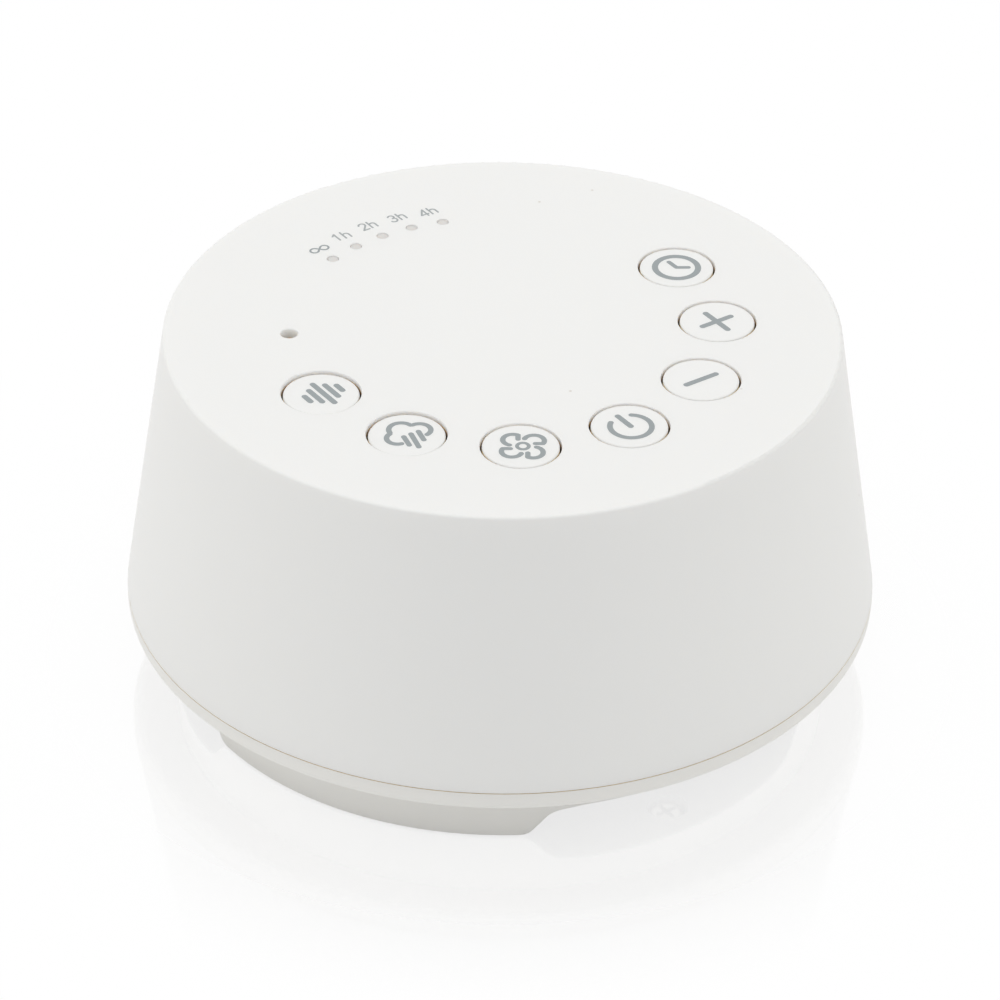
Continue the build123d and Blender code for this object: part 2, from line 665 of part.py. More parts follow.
# ------------------------------------------------------------------ lamps
def timer_light_guide():
    """Clear pins in the timer lamps' holes, joined by a curved bar under the ceiling."""
    arc = CenterArc((0, 0), LAMP_CIRCLE, lamp_angles[0], LAMP_STEP * (LAMP_COUNT - 1))
    bar = Pos(0, 0, z_ceiling - GUIDE_BAR_THICKNESS) * SlotArc(arc, GUIDE_BAR_WIDTH)
    guide = extrude(bar, GUIDE_BAR_THICKNESS)
    pin = disc(LAMP_HOLE_RADIUS - LAMP_CLEARANCE, z_board + LED_HEIGHT + GUIDE_LED_GAP, z_top - LAMP_RECESS)
    for angle in lamp_angles:
        guide += at(LAMP_CIRCLE, angle) * pin
    return guide


def timer_leds():
    """Small lamps on the board, one under each pin."""
    half_width = LED_WIDTH / 2
    half_length = LED_LENGTH / 2
    led = block((-half_width, half_width), (-half_length, half_length), (z_board, z_board + LED_HEIGHT))
    return solids([at(LAMP_CIRCLE, angle) * turn(angle) * led for angle in lamp_angles])


def status_led():
    """Round lamp on two legs, with its dome in the collar behind the status hole."""
    radius = STATUS_LED_RADIUS
    z_tip = z_ceiling - STATUS_LED_DROP
    z_body = z_tip - radius - STATUS_LED_LENGTH
    lamp = disc(radius, z_body, z_tip - radius) + Pos(0, 0, z_tip - radius) * Sphere(radius)
    lamp += disc(radius + STATUS_LED_FLANGE, z_body, z_body + STATUS_LED_FLANGE)
    half = STATUS_LEG_SIZE / 2
    for x in (-STATUS_LEG_SPACING / 2, STATUS_LEG_SPACING / 2):
        lamp += block((x - half, x + half), (-half, half), (z_board, z_body))
    return at(STATUS_CIRCLE, STATUS_ANGLE) * turn(STATUS_ANGLE) * lamp


# ------------------------------------------------------------------ control board
def control_board():
    """Round circuit board that hangs from the ceiling's standoffs."""
    board = disc(board_radius, z_board_under, z_board)
    for radius, angle in standoff_places:
        board -= at(radius, angle) * disc(BOARD_SCREW_RADIUS + HOLE_CLEARANCE, z_board_under, z_board)
    return board


def board_screws():
    """Screws up through the control board into its standoffs."""
    one = Pos(0, 0, z_board_under) * screw(BOARD_SCREW_RADIUS, BOARD_SCREW_LENGTH)
    return solids([at(radius, angle) * one for radius, angle in standoff_places])


def chip(size, legs, place):
    """Chip package on the board with rows of bent legs along its two long sides."""
    length, width, height = size
    z_range = (z_board + LEG_THICKNESS, z_board + height)
    package = block((-length / 2, length / 2), (-width / 2, width / 2), z_range)
    z_bend = z_board + height / 2
    leg_tip = width / 2 + LEG_REACH
    for i in range(legs):
        x = LEG_PITCH * (i - (legs - 1) / 2)
        across = (x - LEG_WIDTH / 2, x + LEG_WIDTH / 2)
        for side in (-1, 1):
            root = side * width / 2
            knee = side * (width / 2 + LEG_REACH / 2)
            heel = knee + side * LEG_THICKNESS
            shoulder = block(across, sorted((root, heel)), (z_bend - LEG_THICKNESS, z_bend))
            shin = block(across, sorted((knee, heel)), (z_board, z_bend))
            foot = block(across, sorted((knee, side * leg_tip)), (z_board, z_board + LEG_THICKNESS))
            package += shoulder + shin + foot
    return Pos(place[0], place[1], 0) * package


def crystal():
    """Oval metal can that clocks the sound chip."""
    length, width, height = CRYSTAL_SIZE
    can = extrude(Pos(0, 0, z_board) * SlotOverall(length, width), height)
    return Pos(CRYSTAL_PLACE[0], CRYSTAL_PLACE[1], 0) * can


def capacitors():
    """Round can capacitors on square bases."""
    half = CAPACITOR_BASE / 2
    base = block((-half, half), (-half, half), (z_board, z_board + CAPACITOR_BASE_HEIGHT))
    can = base + disc(CAPACITOR_RADIUS, z_board, z_board + CAPACITOR_HEIGHT)
    return solids([Pos(x, y, 0) * can for x, y in CAPACITOR_PLACES])


def board_connectors():
    """Two plug-in connectors on the board's underside, mouths down."""
    housing = block(
        (-CONNECTOR_LENGTH / 2, CONNECTOR_LENGTH / 2),
        (-CONNECTOR_WIDTH / 2, CONNECTOR_WIDTH / 2),
        (z_board_under - CONNECTOR_HEIGHT, z_board_under),
    )
    usb_connector = Pos(*USB_CONNECTOR_PLACE, 0) * housing
    speaker_connector = Pos(*SPEAKER_CONNECTOR_PLACE, 0) * turn(90) * housing
    return solids([usb_connector, speaker_connector])


# ------------------------------------------------------------------ loudspeaker
def speaker_basket():
    """Pressed frame: rim with ears, ledge, windowed cone, spider ledge and back ring."""
    gauge = BASKET_GAUGE
    basket = turned(
        (SPEAKER_RADIUS, z_speaker),
        (SPEAKER_RADIUS, z_rim_back),
        (rim_inner + gauge, z_rim_back),
        (rim_inner + gauge, z_ledge + gauge),
        (ledge_inner + gauge, z_ledge + gauge),
        (spider_radius + gauge, z_spider_ledge + gauge),
        (basket_back_radius + gauge, z_spider_ledge + gauge),
        (basket_back_radius + gauge, z_top_plate),
        (basket_bore, z_top_plate),
        (basket_bore, z_basket_back),
        (basket_back_radius, z_basket_back),
        (basket_back_radius, z_spider_ledge),
        (spider_radius, z_spider_ledge),
        (ledge_inner, z_ledge),
        (rim_inner, z_ledge),
        (rim_inner, z_speaker),
    )
    half = BASKET_WINDOW_WIDTH / 2
    window_range = (z_ledge + 2 * gauge, z_spider_ledge - gauge)
    for angle in speaker_screw_angles:
        ear = at(speaker_screw_circle, angle) * disc(EAR_RADIUS, z_speaker, z_rim_back)
        neck_range = (rim_inner + gauge, speaker_screw_circle)
        neck = block(neck_range, (-EAR_RADIUS, EAR_RADIUS), (z_speaker, z_rim_back))
        basket += ear + turn(angle) * neck
        hole = disc(SPEAKER_SCREW_RADIUS + HOLE_CLEARANCE, z_speaker, z_rim_back)
        basket -= at(speaker_screw_circle, angle) * hole
        basket -= turn(angle) * block((basket_back_radius, SPEAKER_RADIUS), (-half, half), window_range)
    return basket


def speaker_screws():
    """Screws down through the basket's ears into the floor's posts."""
    one = Pos(0, 0, z_rim_back) * Rot(180, 0, 0) * screw(SPEAKER_SCREW_RADIUS, SPEAKER_SCREW_LENGTH)
    return solids([at(speaker_screw_circle, angle) * one for angle in speaker_screw_angles])


def speaker_gasket():
    """Foam ring between the basket's rim and the floor."""
    outer = SPEAKER_RADIUS - GASKET_INSET
    return ring(outer, outer - GASKET_WIDTH, z_cloth, z_speaker)


def grille_cloth():
    """Dust cloth over the grille, held at its edge by the gasket."""
    return disc(SPEAKER_RADIUS - GASKET_INSET, z_floor, z_cloth)


def speaker_surround():
    """Rubber half roll between the basket's ledge and the cone."""
    top = z_ledge - GLUE_LINE
    bottom = top - SURROUND_THICKNESS
    middle = (roll_outer + roll_inner) / 2
    flats = ring(rim_inner - GLUE_LINE, roll_outer, bottom, top)
    flats += ring(roll_inner, roll_inner - CONE_GLUE_WIDTH, bottom, top)
    outside = Circle(ROLL_RADIUS + SURROUND_THICKNESS / 2) - Circle(ROLL_RADIUS - SURROUND_THICKNESS / 2)
    below = Pos(0, -SEAM_RADIUS / 2) * Rectangle(SEAM_RADIUS, SEAM_RADIUS)
    section = Plane.XZ * Pos(middle, (top + bottom) / 2) * (outside & below)
    return flats + revolve(section, Axis.Z)


def speaker_spider():
    """Corrugated ring that centres the coil former."""
    inner = former_outer + SPIDER_CLEARANCE
    outer = spider_radius - SPIDER_CLEARANCE
    top = z_spider_ledge - GLUE_LINE
    wave_outer = basket_back_radius - SPIDER_CLEARANCE
    step = (wave_outer - inner) / (2 * SPIDER_WAVES)
    upper = [(outer, top), (wave_outer, top)]
    upper += [(wave_outer - step * (2 * i + 1), top - SPIDER_WAVE) for i in range(SPIDER_WAVES)]
    upper += [(wave_outer - step * (2 * i + 2), top) for i in range(SPIDER_WAVES)]
    upper.sort(reverse=True)
    lower = [(radius, z - SPIDER_THICKNESS) for radius, z in reversed(upper)]
    return turned(*upper, *lower)


def speaker_cone():
    """Paper cone from its flat rim up to the coil former."""
    rim_outer = roll_inner
    rim_bottom = z_ledge
    rim_top = rim_bottom + CONE_THICKNESS
    rim_edge = roll_inner - CONE_GLUE_WIDTH
    return turned(
        (rim_outer, rim_bottom),
        (rim_outer, rim_top),
        (rim_edge, rim_top),
        (former_outer, z_neck + CONE_THICKNESS),
        (former_outer, z_neck),
        (rim_edge, rim_bottom),
    )


def speaker_dust_cap():
    """Domed cover over the coil former's mouth, bulging towards the grille."""
    foot = former_outer + DUST_CAP_OVERLAP
    slope = (z_neck - z_ledge) / (roll_inner - CONE_GLUE_WIDTH - former_outer)
    z_base = z_neck - slope * DUST_CAP_OVERLAP - GLUE_LINE
    outside = dome(foot, DUST_CAP_RISE, z_base)
    inside = dome(foot - DUST_CAP_THICKNESS, DUST_CAP_RISE - DUST_CAP_THICKNESS, z_base)
    return outside - inside


def dome(foot, rise, z_base):
    """Cap of a sphere that hangs from a flat circle."""
    radius = (foot ** 2 + rise ** 2) / (2 * rise)
    return Pos(0, 0, z_base - rise + radius) * Sphere(radius) & disc(foot, z_base - rise, z_base)


def voice_coil():
    """Coil former with its winding centred in the magnet's gap."""
    winding_range = (z_top_plate - CONE_TRAVEL, z_magnet + CONE_TRAVEL)
    former = ring(former_outer, former_inner, z_neck, winding_range[1])
    return former + ring(winding_outer, former_outer, *winding_range)


def speaker_top_plate():
    """Steel ring in front of the magnet, round the coil."""
    return ring(TOP_PLATE_RADIUS, plate_bore, z_top_plate, z_magnet)


def speaker_magnet():
    """Ferrite ring magnet."""
    return ring(MAGNET_RADIUS, MAGNET_BORE_RADIUS, z_magnet, z_yoke)


def speaker_yoke():
    """Steel back plate with the pole inside the coil."""
    return disc(TOP_PLATE_RADIUS, z_yoke, z_yoke + YOKE_THICKNESS) + disc(POLE_RADIUS, z_top_plate, z_yoke)


def speaker_terminals():
    """Tag board upright on the basket's rim, with two solder tabs."""
    width, thickness, height = TERMINAL_TAB
    z_tag = z_rim_back + TERMINAL_BOARD_HEIGHT
    half_board = TERMINAL_BOARD_THICKNESS / 2
    half_width = TERMINAL_BOARD_WIDTH / 2
    tags = block((-half_board, half_board), (-half_width, half_width), (z_rim_back, z_tag))
    tab = block((-thickness / 2, thickness / 2), (-width / 2, width / 2), (z_tag, z_tag + height))
    for y in (-TERMINAL_SPACING / 2, TERMINAL_SPACING / 2):
        tags += Pos(0, y, 0) * tab
    return Pos(terminal_x, 0, 0) * tags


# ------------------------------------------------------------------ power inlet
def usb_board():
    """Small board under two bosses of the rear wall."""
    board = block(
        (-USB_BOARD_WIDTH / 2, USB_BOARD_WIDTH / 2),
        (usb_board_edge - USB_BOARD_LENGTH, usb_board_edge),
        (z_usb_board, z_usb_board_top),
    )
    hole = disc(USB_SCREW_RADIUS + HOLE_CLEARANCE, z_usb_board, z_usb_board_top)
    for x in (-USB_SCREW_SPACING / 2, USB_SCREW_SPACING / 2):
        board -= Pos(x, usb_screw_y, 0) * hole
    return board


def usb_receptacle():
    """Metal shell of the inlet under the board, open to the rear."""
    shell = extrude(inlet_face(port_mouth) * SlotOverall(SHELL_WIDTH, SHELL_HEIGHT), SHELL_LENGTH)
    hollow = SlotOverall(SHELL_WIDTH - 2 * SHELL_WALL, SHELL_HEIGHT - 2 * SHELL_WALL)
    return shell - extrude(inlet_face(port_mouth) * hollow, SHELL_LENGTH - SHELL_WALL)


def usb_tongue():
    """Contact tongue on a block at the back of the shell."""
    back = port_mouth - SHELL_LENGTH + SHELL_WALL
    gap = 2 * (SHELL_WALL + GLUE_LINE)
    plug = SlotOverall(SHELL_WIDTH - gap, SHELL_HEIGHT - gap)
    filler = extrude(inlet_face(back + TONGUE_BLOCK) * plug, TONGUE_BLOCK)
    blade = block(
        (-TONGUE_WIDTH / 2, TONGUE_WIDTH / 2),
        (back, back + TONGUE_BLOCK + TONGUE_LENGTH),
        (z_port - TONGUE_THICKNESS / 2, z_port + TONGUE_THICKNESS / 2),
    )
    return filler + blade


def usb_screws():
    """Screws up through the inlet's board into its bosses."""
    one = Pos(0, usb_screw_y, z_usb_board) * screw(USB_SCREW_RADIUS, USB_SCREW_LENGTH)
    return solids([Pos(x, 0, 0) * one for x in (-USB_SCREW_SPACING / 2, USB_SCREW_SPACING / 2)])


# ------------------------------------------------------------------ wires
def wire(name, points):
    """Round wire along straight runs joined by arcs as large as the runs allow."""
    points = [Vector(*point) for point in points]
    runs = [b - a for a, b in zip(points, points[1:])]
    rounds = []
    for before, after in zip(runs, runs[1:]):
        half_turn = radians(before.get_angle(after) / 2)
        rounds.append(ARC_SHARE * min(before.length, after.length) / tan(half_turn))
    path = FilletPolyline(*points, radius=rounds)
    tube = sweep(Plane(path @ 0, z_dir=path % 0) * Circle(WIRE_RADIUS), path)
    expected = path.length * Circle(WIRE_RADIUS).area
    print(name, "radii", [round(r, 1) for r in rounds], "volume share", round(tube.volume / expected, 4))
    return tube


def usb_leads():
    """Two wires from the inlet's board up to the control board."""
    y_start = usb_board_edge - USB_BOARD_LENGTH + WIRE_SPACING
    x_end, y_end = USB_CONNECTOR_PLACE
    z_end = z_board_under - CONNECTOR_HEIGHT
    z_turn = (z_usb_board_top + z_end) / 2
    wires = []
    for side in (-0.5, 0.5):
        x = side * WIRE_SPACING
        route = [
            (x, y_start, z_usb_board_top),
            (x, y_start, z_turn),
            (x_end + x, y_end, z_turn),
            (x_end + x, y_end, z_end),
        ]
        wires.append(wire("usb_leads", route))
    return solids(wires)


def speaker_leads():
    """Two wires from the loudspeaker's tabs up to the control board."""
    z_start = z_rim_back + TERMINAL_BOARD_HEIGHT + TERMINAL_TAB[2]
    x_end, y_end = SPEAKER_CONNECTOR_PLACE
    z_end = z_board_under - CONNECTOR_HEIGHT
    bend = (z_end - z_start) / 3
    wires = []
    for side in (-0.5, 0.5):
        y_start = side * TERMINAL_SPACING
        y_stop = y_end + side * WIRE_SPACING
        route = [
            (terminal_x, y_start, z_start),
            (terminal_x, y_start, z_start + bend),
            (x_end, y_stop, z_end - bend),
            (x_end, y_stop, z_end),
        ]
        wires.append(wire("speaker_leads", route))
    return solids(wires)


# ------------------------------------------------------------------ the machine
parts = {
    "upper_housing": upper_housing(),
    "base_cover": base_cover(),
    "anti_slip_pads": anti_slip_pads(),
    "base_screws": base_screws(),
    "timer_light_guide": timer_light_guide(),
    "timer_leds": timer_leds(),
    "status_led": status_led(),
    "control_board": control_board(),
    "board_screws": board_screws(),
    "sound_chip": chip(SOUND_CHIP_SIZE, SOUND_CHIP_LEGS, SOUND_CHIP_PLACE),
    "amplifier_chip": chip(SMALL_CHIP_SIZE, SMALL_CHIP_LEGS, AMPLIFIER_PLACE),
    "memory_chip": chip(SMALL_CHIP_SIZE, SMALL_CHIP_LEGS, MEMORY_CHIP_PLACE),
    "crystal": crystal(),
    "capacitors": capacitors(),
    "board_connectors": board_connectors(),
    "speaker_basket": speaker_basket(),
    "speaker_screws": speaker_screws(),
    "speaker_gasket": speaker_gasket(),
    "grille_cloth": grille_cloth(),
    "speaker_surround": speaker_surround(),
    "speaker_spider": speaker_spider(),
    "speaker_cone": speaker_cone(),
    "speaker_dust_cap": speaker_dust_cap(),
    "voice_coil": voice_coil(),
    "speaker_top_plate": speaker_top_plate(),
    "speaker_magnet": speaker_magnet(),
    "speaker_yoke": speaker_yoke(),
    "speaker_terminals": speaker_terminals(),
    "speaker_leads": speaker_leads(),
    "usb_board": usb_board(),
    "usb_receptacle": usb_receptacle(),
    "usb_tongue": usb_tongue(),
    "usb_screws": usb_screws(),
    "usb_leads": usb_leads(),
}
for button in BUTTON_NAMES:
    parts["button_" + button] = button_cap(button)
    parts["switch_" + button] = switch_body(button)
    parts["plunger_" + button] = switch_plunger(button)

for node, shape in parts.items():
    export_step(shape, f"parts/{node}.step")
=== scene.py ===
"""White noise sound machine: finishes, printed symbols, dust cloth and studio.

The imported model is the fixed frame, in metres, with the machine's axis on Z. Printed artwork is
drawn flat in millimetres, and is then raised and placed on its button or on the top.
"""
from math import atan2, ceil, cos, pi, radians, sin

import bmesh
import bpy
from mathutils import Matrix, Vector


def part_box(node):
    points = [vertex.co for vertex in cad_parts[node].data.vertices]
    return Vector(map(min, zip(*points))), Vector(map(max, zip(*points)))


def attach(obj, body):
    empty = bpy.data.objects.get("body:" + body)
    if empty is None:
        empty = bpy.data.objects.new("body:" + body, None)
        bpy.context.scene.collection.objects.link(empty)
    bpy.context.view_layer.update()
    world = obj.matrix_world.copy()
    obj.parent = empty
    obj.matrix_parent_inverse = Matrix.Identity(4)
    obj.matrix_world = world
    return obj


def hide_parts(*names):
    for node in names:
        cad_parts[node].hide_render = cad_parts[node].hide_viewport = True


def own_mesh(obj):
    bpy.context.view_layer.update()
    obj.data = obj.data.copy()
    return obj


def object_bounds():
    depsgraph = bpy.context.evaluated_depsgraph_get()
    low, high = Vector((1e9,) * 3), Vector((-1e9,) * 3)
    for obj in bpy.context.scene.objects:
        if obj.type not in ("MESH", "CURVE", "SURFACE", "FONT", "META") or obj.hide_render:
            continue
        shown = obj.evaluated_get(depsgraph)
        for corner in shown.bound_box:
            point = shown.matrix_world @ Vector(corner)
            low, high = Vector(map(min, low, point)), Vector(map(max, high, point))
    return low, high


bl_info = {
    "name": "White Noise Sound Machine",
    "version": (1, 0, 0),
    "blender": (4, 5, 0),
    "location": "3D View > Sidebar > Sound Machine",
    "description": "Finishes, printed symbols and studio for a white noise sound machine",
    "category": "Object",
}

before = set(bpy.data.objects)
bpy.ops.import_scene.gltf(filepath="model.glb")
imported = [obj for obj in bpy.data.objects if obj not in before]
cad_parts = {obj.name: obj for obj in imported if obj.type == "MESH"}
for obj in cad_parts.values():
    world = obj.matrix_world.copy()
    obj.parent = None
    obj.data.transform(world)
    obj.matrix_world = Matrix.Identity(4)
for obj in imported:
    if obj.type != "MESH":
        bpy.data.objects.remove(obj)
cad_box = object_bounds()

MM = 0.001

BUTTONS = ("white_noise", "rain_sound", "fan_sound", "power", "minus", "plus", "timer")
CHIPS = ("sound_chip", "amplifier_chip", "memory_chip")
LEVEL = (1, 1, 0)             # stretch of a pattern that is the same at every height
WHITE = (1, 1, 1, 1)
TINNED = (205, 205, 200)      # screen colour of tinned legs

# finishes of the shells, in metres
HOLE_RADIUS = 5.67 * MM               # buttons' holes in the top
CAP_RADIUS = 5.37 * MM
GAP_SHADE = (0.7 * MM, 1.4 * MM)      # depths where the shade painted on a gap's walls starts and is full
WALL_REACH = 0.03 * MM                # how far from a wall's radius still counts as the wall
TOP_TAPER = 6.5 * MM                  # seam's radius less the top's
STATUS_ZONE = (1.99 * MM, 2.01 * MM)  # limit of the status hole's own skin depth
STATUS_WALL = 1.3 * MM                # beyond the status hole's wall
TOP_FILM = 0.05 * MM                  # depth that still counts as the top
CLEARNESS = 0.15                      # translucence of the mouldings, and of 1 in the gaps

# soft pieces under the loudspeaker, in metres
GASKET_WIDTH = 3.6 * MM
GASKET_CORNER = 0.45 * MM
CLOTH_RING = 3 * MM                   # width of the rings that the cloth's face is made of
CLOTH_REST = 1.2                      # cloth's height over the grille, of its thickness
CLOTH_RIPPLE = (1.1, 0.25)            # turn from ring to ring, and height of its thickness

# studio, in metres
FLOOR_RADIUS = 6.0
SHADOW_FADE = (0.05, 0.11)
MIRROR_FADE = (0.058, 0.09)
MIRROR_ROUGHNESS = 0.07
MATT_WHITE = (0.9, 0.9, 0.9, 1)
TOP_LAMP = {"place": (0.0, 0.15, 1.1), "aim": (0, 0, 0), "size": (1.2, 1.2), "colour": (1.0, 1.0, 1.0)}
SIDE_LAMP = {"aim": (0, 0, 0.03), "size": (0.5, 0.7), "colour": (1.0, 0.97, 0.9)}
SIDE_LAMP_REACH = 1.0
SIDE_LAMP_HEIGHT = 0.25


def paint(red, green, blue):
    """Linear colour of a screen colour from 0 to 255."""
    def linear(value):
        share = value / 255
        return share / 12.92 if share <= 0.04045 else ((share + 0.055) / 1.055) ** 2.4
    return linear(red), linear(green), linear(blue)


# ---- settings
UNITS = {"DISTANCE": "LENGTH", "ANGLE": "ROTATION", "POWER": "POWER"}


def colour_setting(name, description, *screen):
    """Colour, with its default as a screen colour."""
    return bpy.props.FloatVectorProperty(name=name, description=description, subtype="COLOR",
                                         size=3, min=0, max=1, default=paint(*screen))


def setting(name, description, default, kind=None, **limits):
    """Number, and the unit that Blender shows for its kind."""
    if kind:
        limits.update(subtype=kind, unit=UNITS[kind])
    return bpy.props.FloatProperty(name=name, description=description, default=default, **limits)


def length_setting(name, description, default, most):
    """Length from nothing to a most, in metres."""
    return setting(name, description, default, "DISTANCE", min=0, max=most)


class ShellSettings(bpy.types.PropertyGroup):
    """White mouldings: housing, base and button caps."""

    housing: colour_setting("Housing", "Moulded plastic of the upper housing", 245, 245, 243)
    base: colour_setting("Base", "Moulded plastic of the base", 243, 242, 238)
    caps: colour_setting("Caps", "Moulded plastic of the button caps", 246, 246, 244)
    # painted shade: warm, darker colour painted on walls deeper than the skin, for the shade inside
    # holes and gaps
    painted_warm_shade: colour_setting(
        "Hidden walls", "Warmer plastic inside the shells and down the gaps", 238, 212, 174)
    # painted shade: dark colour painted deep down the gap round a cap
    gap: colour_setting("Gap", "Walls deep down the gap round a cap", 96, 66, 42)
    # painted shade: warm colour painted in the shadow groove under the housing
    seam: colour_setting("Seam", "Plastic that shows in the shadow groove", 246, 228, 194)
    grain: length_setting("Grain", "Height of the mould's fine texture", 0.004 * MM, 0.001)
    groove: length_setting(
        "Groove", "Height of the shadow groove under the housing", 0.13 * MM, 0.01)
    edge: length_setting(
        "Edge", "Width of the groove's lips that keep the outer colour", 0.01 * MM, 0.001)
    # below these skin depths the warm shade is painted
    skin: length_setting(
        "Skin", "Depth of plastic that shows the outer colour", 0.7 * MM, 0.01)
    cap_skin: length_setting(
        "Cap skin", "Depth of a cap's side that shows the outer colour", 0.22 * MM, 0.01)
    status_skin: length_setting(
        "Status hole skin", "Depth of the status hole that shows the outer colour", 1.5 * MM, 0.01)


class PrintSettings(bpy.types.PropertyGroup):
    """Printed symbols and timer labels."""

    ink: colour_setting("Ink", "Grey of the printed symbols", 156, 163, 165)
    thickness: length_setting(
        "Ink thickness", "Half of it stands above the plastic", 0.02 * MM, 0.001)
    label_ink: colour_setting("Label ink", "Lighter grey of the timer labels", 168, 173, 174)
    lamp_circle: length_setting(
        "Lamp circle", "Radius of the timer lamps' circle", 31.35 * MM, 0.1)
    lamp_step: setting(
        "Lamp step", "Angle between two timer lamps", radians(9), "ANGLE", min=0, max=1)
    label_gap: length_setting(
        "Label gap", "Each timer label's middle behind its lamp", 3.65 * MM, 0.1)


class StudioSettings(bpy.types.PropertyGroup):
    """Camera, floor and lamps."""

    azimuth: setting(
        "Azimuth", "Camera angle round the machine, from the user's side", radians(-34.9), "ANGLE")
    elevation: setting("Elevation", "Camera angle above the seam", radians(34.65), "ANGLE")
    distance: setting(
        "Distance", "Camera from the middle of the seam", 0.6529, "DISTANCE", min=0.1)
    aim_height: setting(
        "Aim height", "Point on the axis that the camera looks at", 0.0247, "DISTANCE")
    roll: setting("Roll", "Camera turned about its line of sight", radians(0.649), "ANGLE")
    lens: setting("Lens", "Focal length in millimetres on a 36 mm sensor", 158.75, min=10)
    shift: setting("Shift", "Picture moved sideways, as a share of its width", -0.001)
    ambient: setting("Ambient", "Strength of the white room", 0.625, min=0)
    floor_gloss: setting(
        "Floor gloss", "Share of mirror reflection in the floor beside the machine", 0.18,
        min=0, max=1)
    floor_shadow: setting(
        "Floor shadow", "Share of the floor's own shading beside the machine", 0.07, min=0, max=1)
    top_power: setting("Top lamp", "Power of the lamp overhead", 4.7, "POWER", min=0)
    side_power: setting("Side lamps", "Power of the lamp at either side", 1.1, "POWER", min=0)


# ---- materials
def feed(tree, node, inputs):
    """Links each input that is an output socket, and sets any other."""
    for key, value in inputs.items():
        if isinstance(value, bpy.types.NodeSocket):
            tree.links.new(value, node.inputs[key])
        else:
            node.inputs[key].default_value = value


def add_node(tree, kind, inputs=None, **settings):
    """New node with its settings, and inputs that are values or other nodes' outputs."""
    node = tree.nodes.new(kind)
    for key, value in settings.items():
        setattr(node, key, value)
    feed(tree, node, inputs or {})
    return node


class Finish:
    """A principled material and the chain of procedural nodes that feeds it.

    Clouds are a size and an amount, bumps a size and a depth, gloss a size and two roughnesses.
    The noise's detail and stretch can follow bumps and gloss.
    """

    def __init__(self, name, colour, roughness, clouds=None, bumps=None, gloss=None, **constants):
        self.material = bpy.data.materials.new(name)
        self.material.use_nodes = True
        self.tree = self.material.node_tree
        self.shader = self.tree.nodes["Principled BSDF"]
        self.colour = (*colour, 1.0)
        self.shade({"Base Color": self.colour, "Roughness": roughness})
        self.shade({key.replace("_", " "): value for key, value in constants.items()})
        self.material.diffuse_color = self.colour
        self.place = self.add("ShaderNodeTexCoord").outputs["Object"]
        if clouds:
            self.mottle(*clouds)
        if bumps:
            size, depth, *pattern = bumps
            self.relief(self.noise(size, *pattern), depth)
        if gloss:
            size, low, high, *pattern = gloss
            self.polish(self.noise(size, *pattern), low, high)

    def add(self, kind, inputs=None, **settings):
        """New node of this material."""
        return add_node(self.tree, kind, inputs, **settings)

    def shade(self, inputs):
        """Sets or links inputs of the shader."""
        feed(self.tree, self.shader, inputs)

    def noise(self, size, detail=2.0, stretch=(1, 1, 1)):
        """Cloudy value from 0 to 1, with patches about size metres across."""
        scaled = self.add("ShaderNodeMapping", {"Vector": self.place, "Scale": stretch})
        inputs = {"Vector": scaled.outputs[0], "Scale": 1 / size, "Detail": detail}
        return self.add("ShaderNodeTexNoise", inputs).outputs["Fac"]

    def cells(self, size, feature="F1", output="Distance", stretch=(1, 1, 1)):
        """Cell pattern with cells about size metres across."""
        scaled = self.add("ShaderNodeMapping", {"Vector": self.place, "Scale": stretch})
        inputs = {"Vector": scaled.outputs[0], "Scale": 1 / size}
        return self.add("ShaderNodeTexVoronoi", inputs, feature=feature).outputs[output]

    def waves(self, size, direction):
        """Sine ridges about size metres apart across an axis."""
        inputs = {"Vector": self.place, "Scale": 0.314159 / size}
        node = self.add("ShaderNodeTexWave", inputs, wave_type="BANDS", bands_direction=direction)
        return node.outputs["Fac"]

    def math(self, operation, first, second=0.0):
        """Sum, product, comparison or other arithmetic of two values."""
        return self.add("ShaderNodeMath", {0: first, 1: second}, operation=operation).outputs[0]

    def spread(self, value, low, high, start=0.0, end=1.0):
        """Value from start..end stretched over low..high."""
        inputs = {"Value": value, "From Min": start, "From Max": end, "To Min": low, "To Max": high}
        return self.add("ShaderNodeMapRange", inputs).outputs[0]

    def mix(self, share, first, second):
        """Blend of two colours."""
        inputs = {0: share, 6: first, 7: second}
        return self.add("ShaderNodeMix", inputs, data_type="RGBA").outputs[2]

    def axes(self):
        """X, Y and Z of the surface, in metres."""
        return self.add("ShaderNodeSeparateXYZ", {0: self.place}).outputs

    def radius(self):
        """Distance of the surface from the machine's axis."""
        x, y, _ = self.axes()
        squares = self.math("ADD", self.math("MULTIPLY", x, x), self.math("MULTIPLY", y, y))
        return self.math("SQRT", squares)

    def tint(self, share, colour):
        """Covers the colour so far with another by a share."""
        socket = self.shader.inputs["Base Color"]
        before = socket.links[0].from_socket if socket.is_linked else self.colour
        self.shade({"Base Color": self.mix(share, before, (*colour, 1.0))})

    def plate(self, share, colour, roughness, bare):
        """Covers a share with metal, and gives the bare rest its own roughness."""
        self.tint(share, colour)
        self.shade({"Metallic": share, "Roughness": self.spread(share, bare, roughness)})

    def mottle(self, size, amount):
        """Lighter and darker clouds in the colour."""
        darker = tuple(value * (1 - amount) for value in self.colour[:3])
        self.tint(self.noise(size, 3.0), darker)

    def relief(self, height, depth, strength=1.0):
        """Bump whose height of 1 is depth metres."""
        socket = self.shader.inputs["Normal"]
        inputs = {"Height": height, "Distance": depth, "Strength": strength}
        if socket.is_linked:
            inputs["Normal"] = socket.links[0].from_socket
        bump = self.add("ShaderNodeBump", inputs)
        self.shade({"Normal": bump.outputs[0]})

    def polish(self, value, low, high):
        """Roughness that follows a pattern."""
        self.shade({"Roughness": self.spread(value, low, high)})


